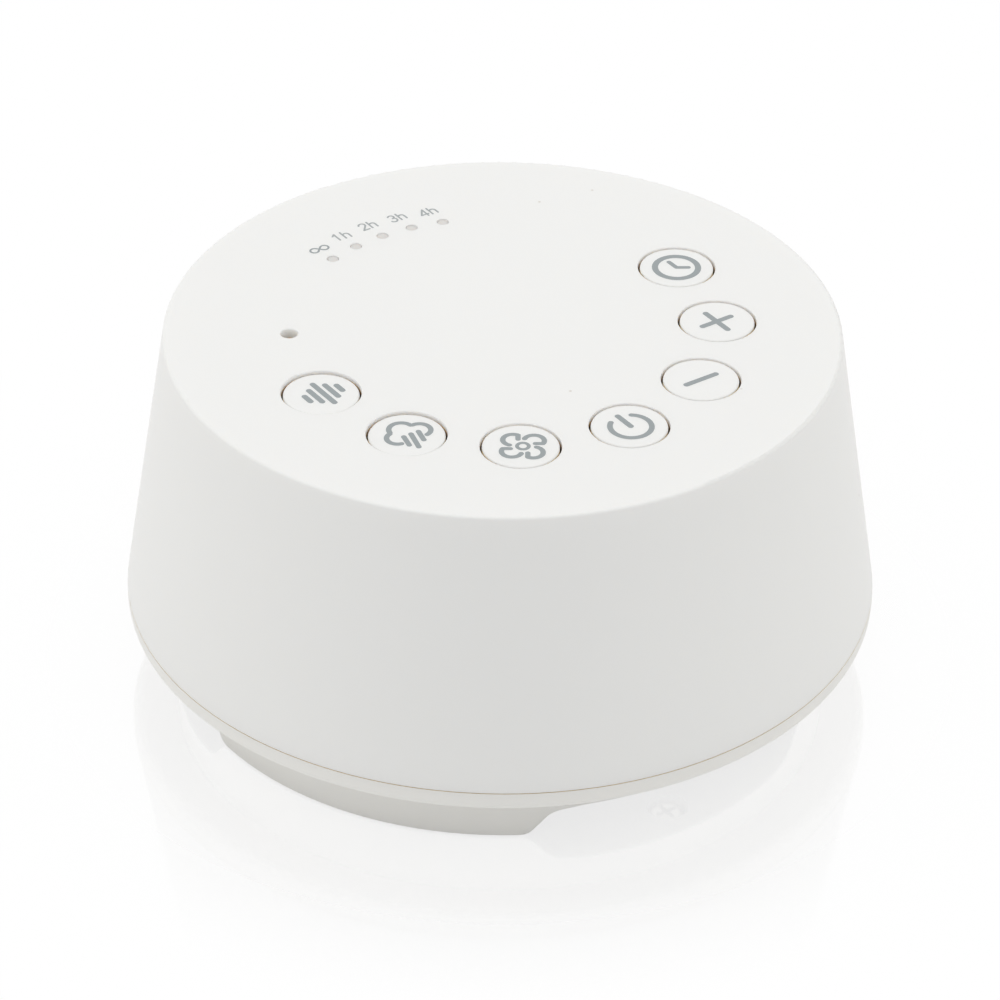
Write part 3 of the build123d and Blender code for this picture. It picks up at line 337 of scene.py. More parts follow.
def moulded_plastic(name, colour, shell):
    """White satin plastic with a fine mould texture, faint clouds and a few specks of dust."""
    finish = Finish(name, colour, 0.5, (30 * MM, 0.012), (0.16 * MM, shell.grain, 3.0),
                    (2.5 * MM, 0.44, 0.54), Subsurface_Weight=CLEARNESS, Subsurface_Scale=0.0024,
                    Subsurface_Radius=(1.0, 0.94, 0.86), Specular_IOR_Level=0.4)
    finish.tint(specks(finish, 7 * MM, 0.3 * MM, 0.5), paint(214, 208, 200))
    return finish


def specks(finish, spacing, radius, share, stretch=(1, 1, 1)):
    """Small round specks, at most one in each cell and only in some cells."""
    distance = finish.cells(spacing, stretch=stretch)
    colour = finish.cells(spacing, output="Color", stretch=stretch)
    pick = finish.add("ShaderNodeSeparateColor", {0: colour}).outputs[0]
    near = finish.spread(distance, 0.8, 0.0, start=0.4 * radius / spacing, end=radius / spacing)
    return finish.math("MULTIPLY", near, finish.math("GREATER_THAN", pick, 1 - share))


def housing_plastic(shell):
    """Housing plastic, with painted warm shade behind its outer skin and painted dark shade down the
    gaps round the caps.
    """
    finish = moulded_plastic("housing_white", shell.housing, shell)
    low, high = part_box("upper_housing")
    x, y, z = finish.axes()
    outside = finish.spread(z, high.x, high.x - TOP_TAPER, start=low.z, end=high.z)
    inward = finish.math("SUBTRACT", outside, finish.radius())
    below_top = finish.math("SUBTRACT", high.z, z)
    dust = specks(finish, 9 * MM, 0.17 * MM, 0.45, stretch=LEVEL)
    dust = finish.math("MULTIPLY", dust, finish.math("LESS_THAN", below_top, shell.cap_skin))
    finish.tint(dust, paint(196, 189, 180))
    depth = finish.math("MINIMUM", inward, below_top)
    hole = sum(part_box("status_led"), Vector()) / 2
    aside = finish.math("MAXIMUM", finish.math("ABSOLUTE", finish.math("SUBTRACT", x, hole.x)),
                        finish.math("ABSOLUTE", finish.math("SUBTRACT", y, hole.y)))
    start, end = STATUS_ZONE
    skin = finish.spread(aside, shell.status_skin, shell.skin, start=start, end=end)
    # painted warm shade on everything deeper than the skin
    finish.tint(finish.math("GREATER_THAN", depth, skin), shell.painted_warm_shade)
    hole_wall = finish.math("MULTIPLY", finish.math("LESS_THAN", aside, STATUS_WALL),
                            finish.math("GREATER_THAN", below_top, TOP_FILM))
    shade_gap(finish, BUTTONS, HOLE_RADIUS, below_top, shell.gap, also_clear=hole_wall)
    return finish


def shade_gap(finish, names, radius, depth, colour, also_clear=0.0):
    """Makes the wall at a radius round each button's middle translucent, and paints shade on it that
    darkens with depth.
    """
    flat = finish.add("ShaderNodeMapping", {"Vector": finish.place, "Scale": LEVEL}).outputs[0]
    wall = 0.0
    for name in names:
        low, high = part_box("button_" + name)
        middle = ((low.x + high.x) / 2, (low.y + high.y) / 2, 0)
        away = finish.add("ShaderNodeVectorMath", {0: flat, 1: middle}, operation="DISTANCE")
        off = finish.math("SUBTRACT", away.outputs["Value"], radius)
        near = finish.math("LESS_THAN", finish.math("ABSOLUTE", off), WALL_REACH)
        wall = finish.math("MAXIMUM", wall, near)
    start, end = GAP_SHADE
    clear = finish.math("MAXIMUM", wall, also_clear)
    finish.shade({"Subsurface Weight": finish.spread(clear, CLEARNESS, 1.0)})
    # painted shade that darkens with depth down the gap
    shadow = finish.spread(depth, 0, 1, start=start, end=end)
    finish.tint(finish.math("MULTIPLY", wall, shadow), colour)


def cap_plastic(name, shell):
    """Cap plastic, with painted warm shade down its side and painted dark shade deep in the gap round
    it.
    """
    finish = moulded_plastic("cap_white_" + name, shell.caps, shell)
    depth = finish.math("SUBTRACT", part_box("button_" + name)[1].z, finish.axes()[2])
    # painted warm shade down the cap's side
    finish.tint(finish.math("GREATER_THAN", depth, shell.cap_skin), shell.painted_warm_shade)
    shade_gap(finish, [name], CAP_RADIUS, depth, shell.gap)
    return finish


def base_plastic(shell):
    """Base plastic, with warm shade painted in the seam groove and above it, and specks of dirt there.
    """
    finish = moulded_plastic("base_white", shell.base, shell)
    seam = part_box("upper_housing")[0].z
    groove = finish.math("GREATER_THAN", finish.axes()[2], seam - shell.groove - shell.edge)
    inward = finish.math("SUBTRACT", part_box("upper_housing")[1].x, finish.radius())
    groove_shade_and_dirt = finish.math("MULTIPLY", groove, finish.math("GREATER_THAN", inward, shell.edge))
    # painted warm shade in the groove and just above it
    finish.tint(groove_shade_and_dirt, shell.seam)
    dirt = specks(finish, 4 * MM, 0.35 * MM, 0.5, stretch=LEVEL)
    finish.tint(finish.math("MULTIPLY", groove_shade_and_dirt, dirt), paint(120, 92, 62))
    return finish


def printing_ink(name, colour):
    """Grey screen ink with faint pinholes."""
    return Finish(name, colour, 0.42, (0.6 * MM, 0.05), (0.08 * MM, 0.002 * MM),
                  (0.3 * MM, 0.38, 0.5), Specular_IOR_Level=0.35)


def clear_plastic():
    """Milky light guide."""
    return Finish("lamp_lens", paint(233, 226, 220), 0.35, (0.8 * MM, 0.08), (0.12 * MM, 0.006 * MM),
                  Subsurface_Weight=0.6, Subsurface_Scale=0.0015, Subsurface_Radius=(1.0, 0.8, 0.7))


def milky_lens():
    """Milky lamp behind the status hole."""
    return Finish("status_lens", paint(244, 238, 232), 0.3, (0.5 * MM, 0.12), (0.2 * MM, 0.004 * MM),
                  Coat_Weight=0.3)


def lamp_phosphor():
    """Lamp chip: yellow phosphor in a white body."""
    finish = Finish("led_body", paint(240, 238, 230), 0.5,
                    Subsurface_Weight=0.2, Subsurface_Scale=0.0005)
    window_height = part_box("timer_leds")[1].z - 0.05 * MM
    window = finish.math("GREATER_THAN", finish.axes()[2], window_height)
    finish.tint(window, paint(232, 205, 96))
    finish.mottle(0.2 * MM, 0.1)
    return finish


def silicone_rubber():
    """Pale anti-slip pad with a stippled sole."""
    finish = Finish("pad_rubber", paint(196, 195, 191), 0.7, (4 * MM, 0.06), gloss=(1 * MM, 0.62, 0.8),
                    Subsurface_Weight=0.15, Subsurface_Scale=0.001, Specular_IOR_Level=0.3)
    finish.relief(finish.cells(0.45 * MM), 0.03 * MM)
    return finish


def plated_steel(name, colour, grain=(1, 1, 12)):
    """Zinc-plated or rolled steel with fine streaks and small scratches."""
    return Finish(name, colour, 0.3, (1.5 * MM, 0.12), (0.25 * MM, 0.004 * MM, 3.0, grain),
                  (0.5 * MM, 0.22, 0.42, 4.0, grain), Metallic=1.0)


def circuit_board(name):
    """Green solder mask over copper tracks and a stippled ground."""
    green = paint(24, 84, 52)
    finish = Finish(name, green, 0.32, gloss=(2 * MM, 0.26, 0.38), Specular_IOR_Level=0.6)
    lanes = finish.cells(3.2 * MM, feature="DISTANCE_TO_EDGE")
    tracks = finish.math("LESS_THAN", lanes, 0.07)
    finish.tint(tracks, tuple(value * 1.9 + 0.01 for value in green))
    vias = specks(finish, 2.6 * MM, 0.35 * MM, 0.35)
    finish.tint(vias, paint(196, 188, 150))
    finish.relief(tracks, 0.03 * MM)
    finish.relief(finish.noise(0.1 * MM), 0.002 * MM)
    return finish


def chip_epoxy(node):
    """Black moulded package, with tinned legs outside its two long sides."""
    finish = Finish("chip_black_" + node, paint(34, 34, 36), 0.55, (0.4 * MM, 0.25),
                    (0.06 * MM, 0.003 * MM))
    low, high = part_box(node)
    leg_reach = 0.999 * MM
    middle = (low.y + high.y) / 2
    off = finish.math("ABSOLUTE", finish.math("SUBTRACT", finish.axes()[1], middle))
    legs = finish.math("GREATER_THAN", off, (high.y - low.y) / 2 - leg_reach)
    finish.plate(legs, paint(*TINNED), 0.3, bare=0.55)
    return finish


def contact_plastic():
    """Black tongue with gold contacts on its two faces."""
    finish = Finish("chip_black_tongue", paint(30, 30, 32), 0.5, bumps=(0.06 * MM, 0.002 * MM))
    x, y, _ = finish.axes()
    pitch, root = 0.5 * MM, 1.9 * MM
    lane = finish.math("FRACT", finish.math("DIVIDE", x, pitch))
    strips = finish.math("MULTIPLY", finish.math("GREATER_THAN", lane, 0.25),
                         finish.math("LESS_THAN", lane, 0.75))
    front = finish.math("GREATER_THAN", y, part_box("usb_tongue")[0].y + root)
    finish.plate(finish.math("MULTIPLY", strips, front), paint(222, 186, 110), 0.25, bare=0.5)
    return finish


def can_aluminium(node, base_height=0.0):
    """Drawn aluminium can, brushed round its axis, on a black plastic base if it has one."""
    grain = (1, 1, 6)
    finish = Finish("can_aluminium_" + node, paint(205, 207, 208), 0.3, (0.8 * MM, 0.1),
                    (0.2 * MM, 0.004 * MM, 3.0, grain), (0.4 * MM, 0.2, 0.4, 3.0, grain),
                    Metallic=1.0)
    if base_height:
        base = finish.math("LESS_THAN", finish.axes()[2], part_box(node)[0].z + base_height)
        finish.tint(base, paint(28, 28, 30))
        finish.shade({"Metallic": finish.math("SUBTRACT", 1.0, base)})
    return finish


def fine_plastic(name, colour, roughness):
    """Small moulded part with faint mottling and a fine skin."""
    return Finish(name, colour, roughness, (1.2 * MM, 0.08), (0.12 * MM, 0.004 * MM),
                  (0.6 * MM, roughness - 0.06, roughness + 0.08), Specular_IOR_Level=0.4)


def switch_plastic():
    """Black switch body on tinned legs."""
    finish = Finish("switch_black", paint(38, 38, 40), 0.5, (0.6 * MM, 0.2), (0.08 * MM, 0.003 * MM))
    leg_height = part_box("switch_power")[0].z + 0.201 * MM
    legs = finish.math("LESS_THAN", finish.axes()[2], leg_height)
    finish.plate(legs, paint(*TINNED), 0.3, bare=0.5)
    return finish


def powder_coat():
    """Black powder coat with an orange-peel skin."""
    return Finish("basket_black", paint(32, 32, 33), 0.45, (2 * MM, 0.15), (0.5 * MM, 0.012 * MM),
                  (1 * MM, 0.38, 0.55), Coat_Weight=0.2, Coat_Roughness=0.3)


def open_foam():
    """Open-cell black foam."""
    finish = Finish("foam_black", paint(36, 36, 38), 0.95, Specular_IOR_Level=0.15)
    pores = finish.cells(0.35 * MM)
    finish.tint(finish.spread(pores, 0.0, 0.7, start=0.2, end=0.8), paint(12, 12, 13))
    finish.relief(pores, 0.15 * MM)
    return finish


def woven_cloth(name, colour, pitch, roughness=0.9):
    """Plain weave: over and under threads in both directions."""
    finish = Finish(name, colour, roughness, Sheen_Weight=0.25, Specular_IOR_Level=0.2)
    warp = finish.waves(pitch, "X")
    weft = finish.waves(pitch, "Y")
    threads = finish.math("MAXIMUM", warp, weft)
    dark = tuple(value * 0.35 for value in colour)
    finish.tint(finish.spread(threads, 0.85, 0.0, start=0.2, end=0.8), dark)
    finish.relief(threads, 0.08 * MM)
    return finish


def surround_rubber():
    """Black rubber roll with a matt bloom."""
    finish = Finish("surround_rubber", paint(30, 30, 31), 0.6, bumps=(0.3 * MM, 0.006 * MM),
                    gloss=(1.2 * MM, 0.5, 0.7), Specular_IOR_Level=0.35)
    finish.tint(finish.spread(finish.noise(3 * MM, 4.0), 0.0, 0.25), paint(88, 86, 84))
    return finish


def ferrite():
    """Dark sintered ferrite with a granular surface."""
    return Finish("magnet_ferrite", paint(62, 61, 62), 0.75, (0.8 * MM, 0.3),
                  (0.18 * MM, 0.03 * MM, 4.0), (0.5 * MM, 0.65, 0.85))


def tag_board():
    """Brown laminate with tinned solder tabs above its edge."""
    finish = Finish("tag_brown", paint(148, 98, 58), 0.6, bumps=(0.1 * MM, 0.006 * MM))
    board_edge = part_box("speaker_terminals")[1].z - 2.2 * MM
    tabs = finish.math("GREATER_THAN", finish.axes()[2], board_edge)
    finish.tint(finish.noise(0.5 * MM, 3.0, (1, 1, 8)), paint(122, 78, 44))
    finish.plate(tabs, paint(208, 208, 204), 0.3, bare=0.6)
    return finish


def paper_cone():
    """Pressed paper with visible fibres."""
    finish = Finish("cone_paper", paint(48, 47, 46), 0.85, Specular_IOR_Level=0.25)
    fibres = finish.cells(0.7 * MM, feature="DISTANCE_TO_EDGE", stretch=(1, 2.5, 1))
    finish.tint(finish.spread(fibres, 0.5, 0.0, start=0.0, end=0.08), paint(92, 90, 88))
    finish.mottle(2 * MM, 0.2)
    finish.relief(fibres, 0.03 * MM)
    return finish


def coil_winding():
    """Copper turns on a tan former."""
    finish = Finish("coil_copper", paint(190, 140, 90), 0.6)
    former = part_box("voice_coil")[1].x - 0.399 * MM
    winding = finish.math("GREATER_THAN", finish.radius(), former)
    finish.plate(winding, paint(200, 112, 70), 0.28, bare=0.6)
    finish.relief(finish.waves(0.14 * MM, "Z"), 0.05 * MM)
    return finish


def wire_insulation():
    """Smooth soft insulation."""
    return Finish("wire_red", paint(176, 30, 30), 0.4, (2 * MM, 0.12), (0.4 * MM, 0.006 * MM),
                  (1.5 * MM, 0.34, 0.5), Specular_IOR_Level=0.45)


def dress(finish, *nodes):
    """Gives CAD nodes a finish."""
    for name in nodes:
        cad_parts[name].material_slots[0].material = finish.material


def add_piece(name, mesh, finish, body):
    """Object at the origin from a mesh, on a body, with its finish."""
    mesh.materials.clear()
    mesh.materials.append(finish.material)
    piece = bpy.data.objects.new(name, mesh)
    bpy.context.scene.collection.objects.link(piece)
    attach(piece, body)
    return piece


# ---- printed artwork
class Pen:
    """Draws round-ended strokes, in millimetres, on a flat sheet."""

    round_steps = 26
    arc_step = 5              # degrees
    middle_reach = 0.001      # points nearer than this to the middle line stay behind

    def __init__(self, width, origin=(0, 0)):
        self.sheet = bmesh.new()
        self.width = width
        self.origin = Vector((*origin, 0))

    def dot(self, centre):
        """Filled disc as wide as the stroke."""
        place = Matrix.Translation(self.origin + Vector((*centre, 0)))
        bmesh.ops.create_circle(self.sheet, cap_ends=True, segments=self.round_steps,
                                radius=self.width / 2, matrix=place)

    def line(self, start, end, width=None):
        """Straight stroke between the centres of its round ends."""
        run = Vector(end) - Vector(start)
        made = bmesh.ops.create_circle(self.sheet, cap_ends=True, segments=self.round_steps,
                                       radius=(width or self.width) / 2)["verts"]
        ahead = [vert for vert in made if vert.co.x > self.middle_reach]
        bmesh.ops.translate(self.sheet, verts=ahead, vec=(run.length, 0, 0))
        turn = Matrix.Rotation(atan2(run.y, run.x), 4, "Z")
        place = Matrix.Translation(self.origin + Vector((*start, 0))) @ turn
        bmesh.ops.transform(self.sheet, matrix=place, verts=made)

    def arc(self, centre, radius, start, end, rounded=(True, True)):
        """Curved stroke between two angles in degrees, with round ends where asked."""
        half = self.width / 2
        pair = [self.sheet.verts.new((radius + offset, 0, 0)) for offset in (-half, half)]
        edge = self.sheet.edges.new(pair)
        middle = self.origin + Vector((*centre, 0))
        place = Matrix.Translation(middle) @ Matrix.Rotation(radians(start), 4, "Z")
        bmesh.ops.transform(self.sheet, matrix=place, verts=pair)
        sweep = end - start
        full = abs(sweep) >= 360
        bmesh.ops.spin(self.sheet, geom=[edge, *pair], cent=middle, axis=(0, 0, 1),
                       angle=radians(sweep), steps=ceil(abs(sweep) / self.arc_step),
                       use_merge=full)
        for angle, wanted in zip((radians(start), radians(end)), rounded):
            if wanted and not full:
                self.dot((centre[0] + radius * cos(angle), centre[1] + radius * sin(angle)))

    def print_on(self, name, place, body, ink, thickness):
        """Raises the strokes into one thin solid and places it, with millimetres made metres."""
        depth = thickness / MM
        raised = bmesh.ops.extrude_face_region(self.sheet, geom=self.sheet.faces[:],
                                               use_keep_orig=True)
        tops = [part for part in raised["geom"] if isinstance(part, bmesh.types.BMVert)]
        bmesh.ops.translate(self.sheet, verts=tops, vec=(0, 0, depth))
        bmesh.ops.recalc_face_normals(self.sheet, faces=self.sheet.faces[:])
        strokes = bpy.data.meshes.new(name + "_strokes")
        self.sheet.to_mesh(strokes)
        self.sheet.free()
        mesh = fused(strokes, name)
        mesh.transform(Matrix.Translation(place) @ Matrix.Scale(MM, 4))
        add_piece(name, mesh, ink, body)


def fused(strokes, name):
    """Mesh of overlapping strokes as one clean solid."""
    drawn = bpy.data.objects.new(name + "_drawn", strokes)
    again = bpy.data.objects.new(name + "_again", strokes.copy())
    for helper in (drawn, again):
        bpy.context.scene.collection.objects.link(helper)
    union = drawn.modifiers.new("union", "BOOLEAN")
    union.operation = "UNION"
    union.solver = "EXACT"
    union.use_self = True
    union.object = again
    graph = bpy.context.evaluated_depsgraph_get()
    result = bpy.data.meshes.new_from_object(drawn.evaluated_get(graph))
    result.name = name
    for helper in (drawn, again):
        data = helper.data
        bpy.data.objects.remove(helper)
        bpy.data.meshes.remove(data)
    return result


def draw_sound_bars(pen):
    """Five upright bars, tallest in the middle."""
    pitch, heights = 1.32, (2.4, 4.3, 6.5, 4.3, 2.4)
    for index, height in enumerate(heights):
        x = pitch * (index - 2)
        reach = (height - pen.width) / 2
        pen.line((x, -reach), (x, reach))


def draw_rain_cloud(pen):
    """Cloud outline, open below, with three slanted drops."""
    pen.arc((-0.26, 1.62), 1.72, 8, 172)
    pen.arc((-1.88, 0.10), 1.50, 101, 259)
    pen.arc((1.80, 0.17), 1.57, 94, -81)
    for top, bottom in (((-0.96, -0.10), (-1.48, -2.25)),
                        ((0.26, -0.05), (-0.64, -3.35)),
                        ((1.47, -0.08), (0.92, -2.25))):
        pen.line(top, bottom)


def draw_fan(pen):
    """Four curled petals round a small ring."""
    for quarter in range(4):
        before = set(pen.sheet.verts)
        pen.arc((-0.25, 2.05), 1.40, 215, 25, rounded=(True, False))
        pen.line((1.02, 2.64), (0.43, 1.80))
        petal = [vert for vert in pen.sheet.verts if vert not in before]
        turn = Matrix.Rotation(radians(90 * quarter), 4, "Z")
        bmesh.ops.transform(pen.sheet, matrix=turn, verts=petal)
    pen.width = 0.53
    pen.arc((0, 0), 0.81, 0, 360)


def draw_power(pen):
    """Open ring with an upright stem."""
    gap = 37
    pen.arc((0, 0), 2.9, 90 + gap, 450 - gap)
    pen.line((0, 0.03), (0, 3.1), 0.87)


def draw_minus(pen):
    """One level bar."""
    pen.line((-2.55, 0), (2.55, 0))


def draw_plus(pen):
    """Two crossed bars."""
    pen.line((-2.5, 0), (2.5, 0))
    pen.line((0, -2.6), (0, 2.6))


def draw_clock(pen):
    """Ring with two hands."""
    pen.arc((0, 0), 3.15, 0, 360)
    for tip in ((0, 1.85), (1.45, -0.95)):
        pen.line((0, 0), tip, 0.73)


# stroke width and offset from the cap's middle, in millimetres
SYMBOLS = {
    "white_noise": (draw_sound_bars, 0.87, (0.4, 0.0)),
    "rain_sound": (draw_rain_cloud, 0.77, (0.4, 0.0)),
    "fan_sound": (draw_fan, 0.75, (0.25, -0.15)),
    "power": (draw_power, 0.8, (0.1, -0.2)),
    "minus": (draw_minus, 0.9, (0.05, 0.05)),
    "plus": (draw_plus, 0.9, (-0.05, 0.05)),
    "timer": (draw_clock, 0.9, (0.0, 0.0)),
}

# timer labels, in millimetres
DIGIT_ADVANCE = 1.68          # left edge of the h after a digit
LABEL_MIDDLE = (1.42, 1.08)
LABEL_SHIFT = -0.2            # of every label from its lamp, sideways
LABEL_STROKE = 0.28
ENDLESS_STROKE = 0.3
ENDLESS_DROP = 0.3
CAP_LINE = 2.0                # top of the digits and of the h
FOOT_LINE = 0.14


def draw_one(pen):
    """Digit 1."""
    pen.line((0.62, CAP_LINE), (0.62, FOOT_LINE))
    pen.line((0.62, CAP_LINE), (0.14, 1.55))


def draw_two(pen):
    """Digit 2."""
    pen.arc((0.62, 1.49), 0.51, 165, -35, rounded=(True, False))
    pen.line((1.04, 1.2), (0.16, FOOT_LINE))
    pen.line((0.16, FOOT_LINE), (1.15, FOOT_LINE))


def draw_three(pen):
    """Digit 3."""
    pen.arc((0.62, 1.54), 0.46, 150, -80)
    pen.arc((0.62, 0.66), 0.52, 80, -155)


def draw_four(pen):
    """Digit 4."""
    stem, bar = 0.92, 0.62
    pen.line((stem, CAP_LINE), (0.0, bar))
    pen.line((0.0, bar), (1.22, bar))
    pen.line((stem, CAP_LINE), (stem, FOOT_LINE))


def draw_h(pen):
    """Letter h after a digit."""
    left, right = DIGIT_ADVANCE, DIGIT_ADVANCE + 0.92
    bow, shoulder = (right - left) / 2, 0.95
    pen.line((left, CAP_LINE), (left, FOOT_LINE))
    pen.arc((left + bow, shoulder), bow, 180, 0, rounded=(False, False))
    pen.line((right, shoulder), (right, FOOT_LINE))


LABELS = {"endless": None, "1h": draw_one, "2h": draw_two, "3h": draw_three, "4h": draw_four}


def draw_endless(pen):
    """Lying eight: two loops joined by two crossing bars."""
    reach, radius, tangent = 0.85, 0.62, 50
    for side in (-1, 1):
        start = 180 + tangent if side > 0 else tangent
        sweep = 360 - 2 * tangent
        pen.arc((side * reach, 0), radius, start, start + sweep, rounded=(False, False))
        x = reach - radius * cos(radians(tangent))
        y = radius * sin(radians(tangent))
        pen.line((-x, side * y), (x, -side * y))


# ---- operators
class SOUNDMACHINE_OT_shells(bpy.types.Operator):
    """Finish the housing and the base"""
    bl_idname = "soundmachine.shells"
    bl_label = "Shells"

    def execute(self, context):
        shell = context.scene.machine_shell
        dress(housing_plastic(shell), "upper_housing")
        dress(base_plastic(shell), "base_cover")
        return {"FINISHED"}


class SOUNDMACHINE_OT_buttons(bpy.types.Operator):
    """Finish the caps, plungers and switches"""
    bl_idname = "soundmachine.buttons"
    bl_label = "Buttons"

    def execute(self, context):
        shell = context.scene.machine_shell
        plunger = fine_plastic("plunger_white", paint(226, 224, 218), 0.4)
        switch = switch_plastic()
        for name in BUTTONS:
            dress(cap_plastic(name, shell), "button_" + name)
            dress(plunger, "plunger_" + name)
            dress(switch, "switch_" + name)
        return {"FINISHED"}


class SOUNDMACHINE_OT_symbols(bpy.types.Operator):
    """Print a symbol on each cap"""
    bl_idname = "soundmachine.symbols"
    bl_label = "Button symbols"

    def execute(self, context):
        prints = context.scene.machine_prints
        ink = printing_ink("print_grey", prints.ink)
        for name, (draw, width, shift) in SYMBOLS.items():
            low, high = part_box("button_" + name)
            middle = (low + high) / 2
            place = Vector((middle.x + shift[0] * MM, middle.y + shift[1] * MM,
                            high.z - prints.thickness / 2))
            pen = Pen(width)
            draw(pen)
            pen.print_on("symbol_" + name, place, "button_" + name, ink, prints.thickness)
        return {"FINISHED"}


class SOUNDMACHINE_OT_timer_labels(bpy.types.Operator):
    """Print the timer's labels behind its lamps"""
    bl_idname = "soundmachine.timer_labels"
    bl_label = "Timer labels"

    def execute(self, context):
        prints = context.scene.machine_prints
        ink = printing_ink("print_light_grey", prints.label_ink)
        endless_ink = printing_ink("print_grey_endless", prints.ink)
        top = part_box("upper_housing")[1].z - prints.thickness / 2
        for index, (name, digit) in enumerate(LABELS.items()):
            angle = radians(90) - prints.lamp_step * (index - len(LABELS) // 2)
            lamp = prints.lamp_circle * Vector((cos(angle), sin(angle)))
            place = Vector((lamp.x + LABEL_SHIFT * MM, lamp.y + prints.label_gap, top))
            if digit:
                pen = Pen(LABEL_STROKE, origin=(-LABEL_MIDDLE[0], -LABEL_MIDDLE[1]))
                digit(pen)
                draw_h(pen)
            else:
                pen = Pen(ENDLESS_STROKE, origin=(0, -ENDLESS_DROP))
                draw_endless(pen)
            pen.print_on("label_" + name, place, "housing", ink if digit else endless_ink,
                         prints.thickness)
        return {"FINISHED"}


class SOUNDMACHINE_OT_lamps(bpy.types.Operator):
    """Finish the light guide and the lamps"""
    bl_idname = "soundmachine.lamps"
    bl_label = "Lamps"

    def execute(self, context):
        dress(clear_plastic(), "timer_light_guide")
        dress(lamp_phosphor(), "timer_leds")
        dress(milky_lens(), "status_led")
        return {"FINISHED"}


class SOUNDMACHINE_OT_underside(bpy.types.Operator):
    """Finish the pads and screws"""
    bl_idname = "soundmachine.underside"
    bl_label = "Underside"

    def execute(self, context):
        dress(silicone_rubber(), "anti_slip_pads")
        dress(plated_steel("screw_steel", paint(188, 186, 178)),
              "base_screws", "board_screws", "speaker_screws", "usb_screws")
        return {"FINISHED"}


class SOUNDMACHINE_OT_dust_guard(bpy.types.Operator):
    """Stretch the woven cloth over the grille and press the foam gasket on it"""
    bl_idname = "soundmachine.dust_guard"
    bl_label = "Dust guard"

    def execute(self, context):
        low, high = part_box("grille_cloth")
        radius = high.x
        cloth = add_piece("grille_weave", cloth_mesh(radius, low.z, high.z),
                          woven_cloth("cloth_black", paint(34, 34, 36), 0.5 * MM),
                          "housing")
        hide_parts("grille_cloth")
        gasket = add_piece("gasket_foam", gasket_mesh(), open_foam(), "housing")
        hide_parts("speaker_gasket")
        return {"FINISHED"}


def cloth_mesh(radius, bottom, top):
    """Round cloth that lies on the grille and lifts a little between the gasket and the middle."""
    sheet = bmesh.new()
    thickness = (top - bottom) / 3
    turn, height = CLOTH_RIPPLE
    level = Matrix.Translation((0, 0, bottom + thickness * CLOTH_REST))
    bmesh.ops.create_circle(sheet, cap_ends=True, segments=96, radius=radius, matrix=level)
    disc = sheet.faces[:]
    for ring in range(int(radius / CLOTH_RING) - 1):
        bmesh.ops.inset_region(sheet, faces=disc, thickness=CLOTH_RING, use_boundary=True,
                               use_even_offset=True)
        lift = thickness * cos(ring * turn) * height
        bmesh.ops.translate(sheet, verts=disc[0].verts[:], vec=(0, 0, lift))
    bmesh.ops.solidify(sheet, geom=sheet.faces[:], thickness=thickness)
    return finished(sheet, "grille_weave")


def gasket_mesh():
    """Foam ring with soft corners."""
    low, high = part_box("speaker_gasket")
    ring = bmesh.new()
    upright = Matrix.Translation((high.x - GASKET_WIDTH / 2, 0, (low.z + high.z) / 2))
    upright = upright @ Matrix.Rotation(radians(90), 4, "X")
    upright = upright @ Matrix.Diagonal((GASKET_WIDTH, high.z - low.z, 1, 1))
    bmesh.ops.create_grid(ring, x_segments=1, y_segments=1, size=0.5, matrix=upright)
    bmesh.ops.bevel(ring, geom=ring.verts[:], offset=GASKET_CORNER, affect="VERTICES",
                    segments=4, profile=0.5, material=-1)
    bmesh.ops.delete(ring, geom=ring.faces[:], context="FACES_ONLY")
    bmesh.ops.spin(ring, geom=[*ring.verts, *ring.edges], cent=(0, 0, 0), axis=(0, 0, 1),
                   angle=radians(360), steps=120, use_merge=True)
    return finished(ring, "gasket_foam")


def finished(sheet, name):
    """Mesh from a bmesh, with its normals outwards and its faces smooth."""
    bmesh.ops.recalc_face_normals(sheet, faces=sheet.faces[:])
    for face in sheet.faces:
        face.smooth = True
    mesh = bpy.data.meshes.new(name)
    sheet.to_mesh(mesh)
    sheet.free()
    return mesh


class SOUNDMACHINE_OT_inlet(bpy.types.Operator):
    """Finish the power inlet"""
    bl_idname = "soundmachine.inlet"
    bl_label = "Power inlet"

    def execute(self, context):
        dress(plated_steel("shell_steel", paint(200, 200, 198), (1, 10, 1)), "usb_receptacle")
        dress(contact_plastic(), "usb_tongue")
        dress(circuit_board("board_green_inlet"), "usb_board")
        return {"FINISHED"}


class SOUNDMACHINE_OT_electronics(bpy.types.Operator):
    """Finish the control board and what is on it"""
    bl_idname = "soundmachine.electronics"
    bl_label = "Electronics"

    def execute(self, context):
        dress(circuit_board("board_green"), "control_board")
        for name in CHIPS:
            dress(chip_epoxy(name), name)
        dress(can_aluminium("crystal"), "crystal")
        dress(can_aluminium("capacitors", 1 * MM), "capacitors")
        dress(fine_plastic("connector_cream", paint(236, 228, 206), 0.45), "board_connectors")
        return {"FINISHED"}


class SOUNDMACHINE_OT_loudspeaker(bpy.types.Operator):
    """Finish the loudspeaker"""
    bl_idname = "soundmachine.loudspeaker"
    bl_label = "Loudspeaker"

    def execute(self, context):
        dress(powder_coat(), "speaker_basket")
        flexing_ring("speaker_surround", "surround_roll", surround_rubber())
        weave = woven_cloth("spider_cloth", paint(196, 160, 92), 0.35 * MM, 0.8)
        flexing_ring("speaker_spider", "spider_weave", weave)
        dress(paper_cone(), "speaker_cone", "speaker_dust_cap")
        dress(coil_winding(), "voice_coil")
        dress(plated_steel("plate_steel", paint(190, 186, 168), (1, 1, 1)),
              "speaker_top_plate", "speaker_yoke")
        dress(ferrite(), "speaker_magnet")
        dress(tag_board(), "speaker_terminals")
        return {"FINISHED"}


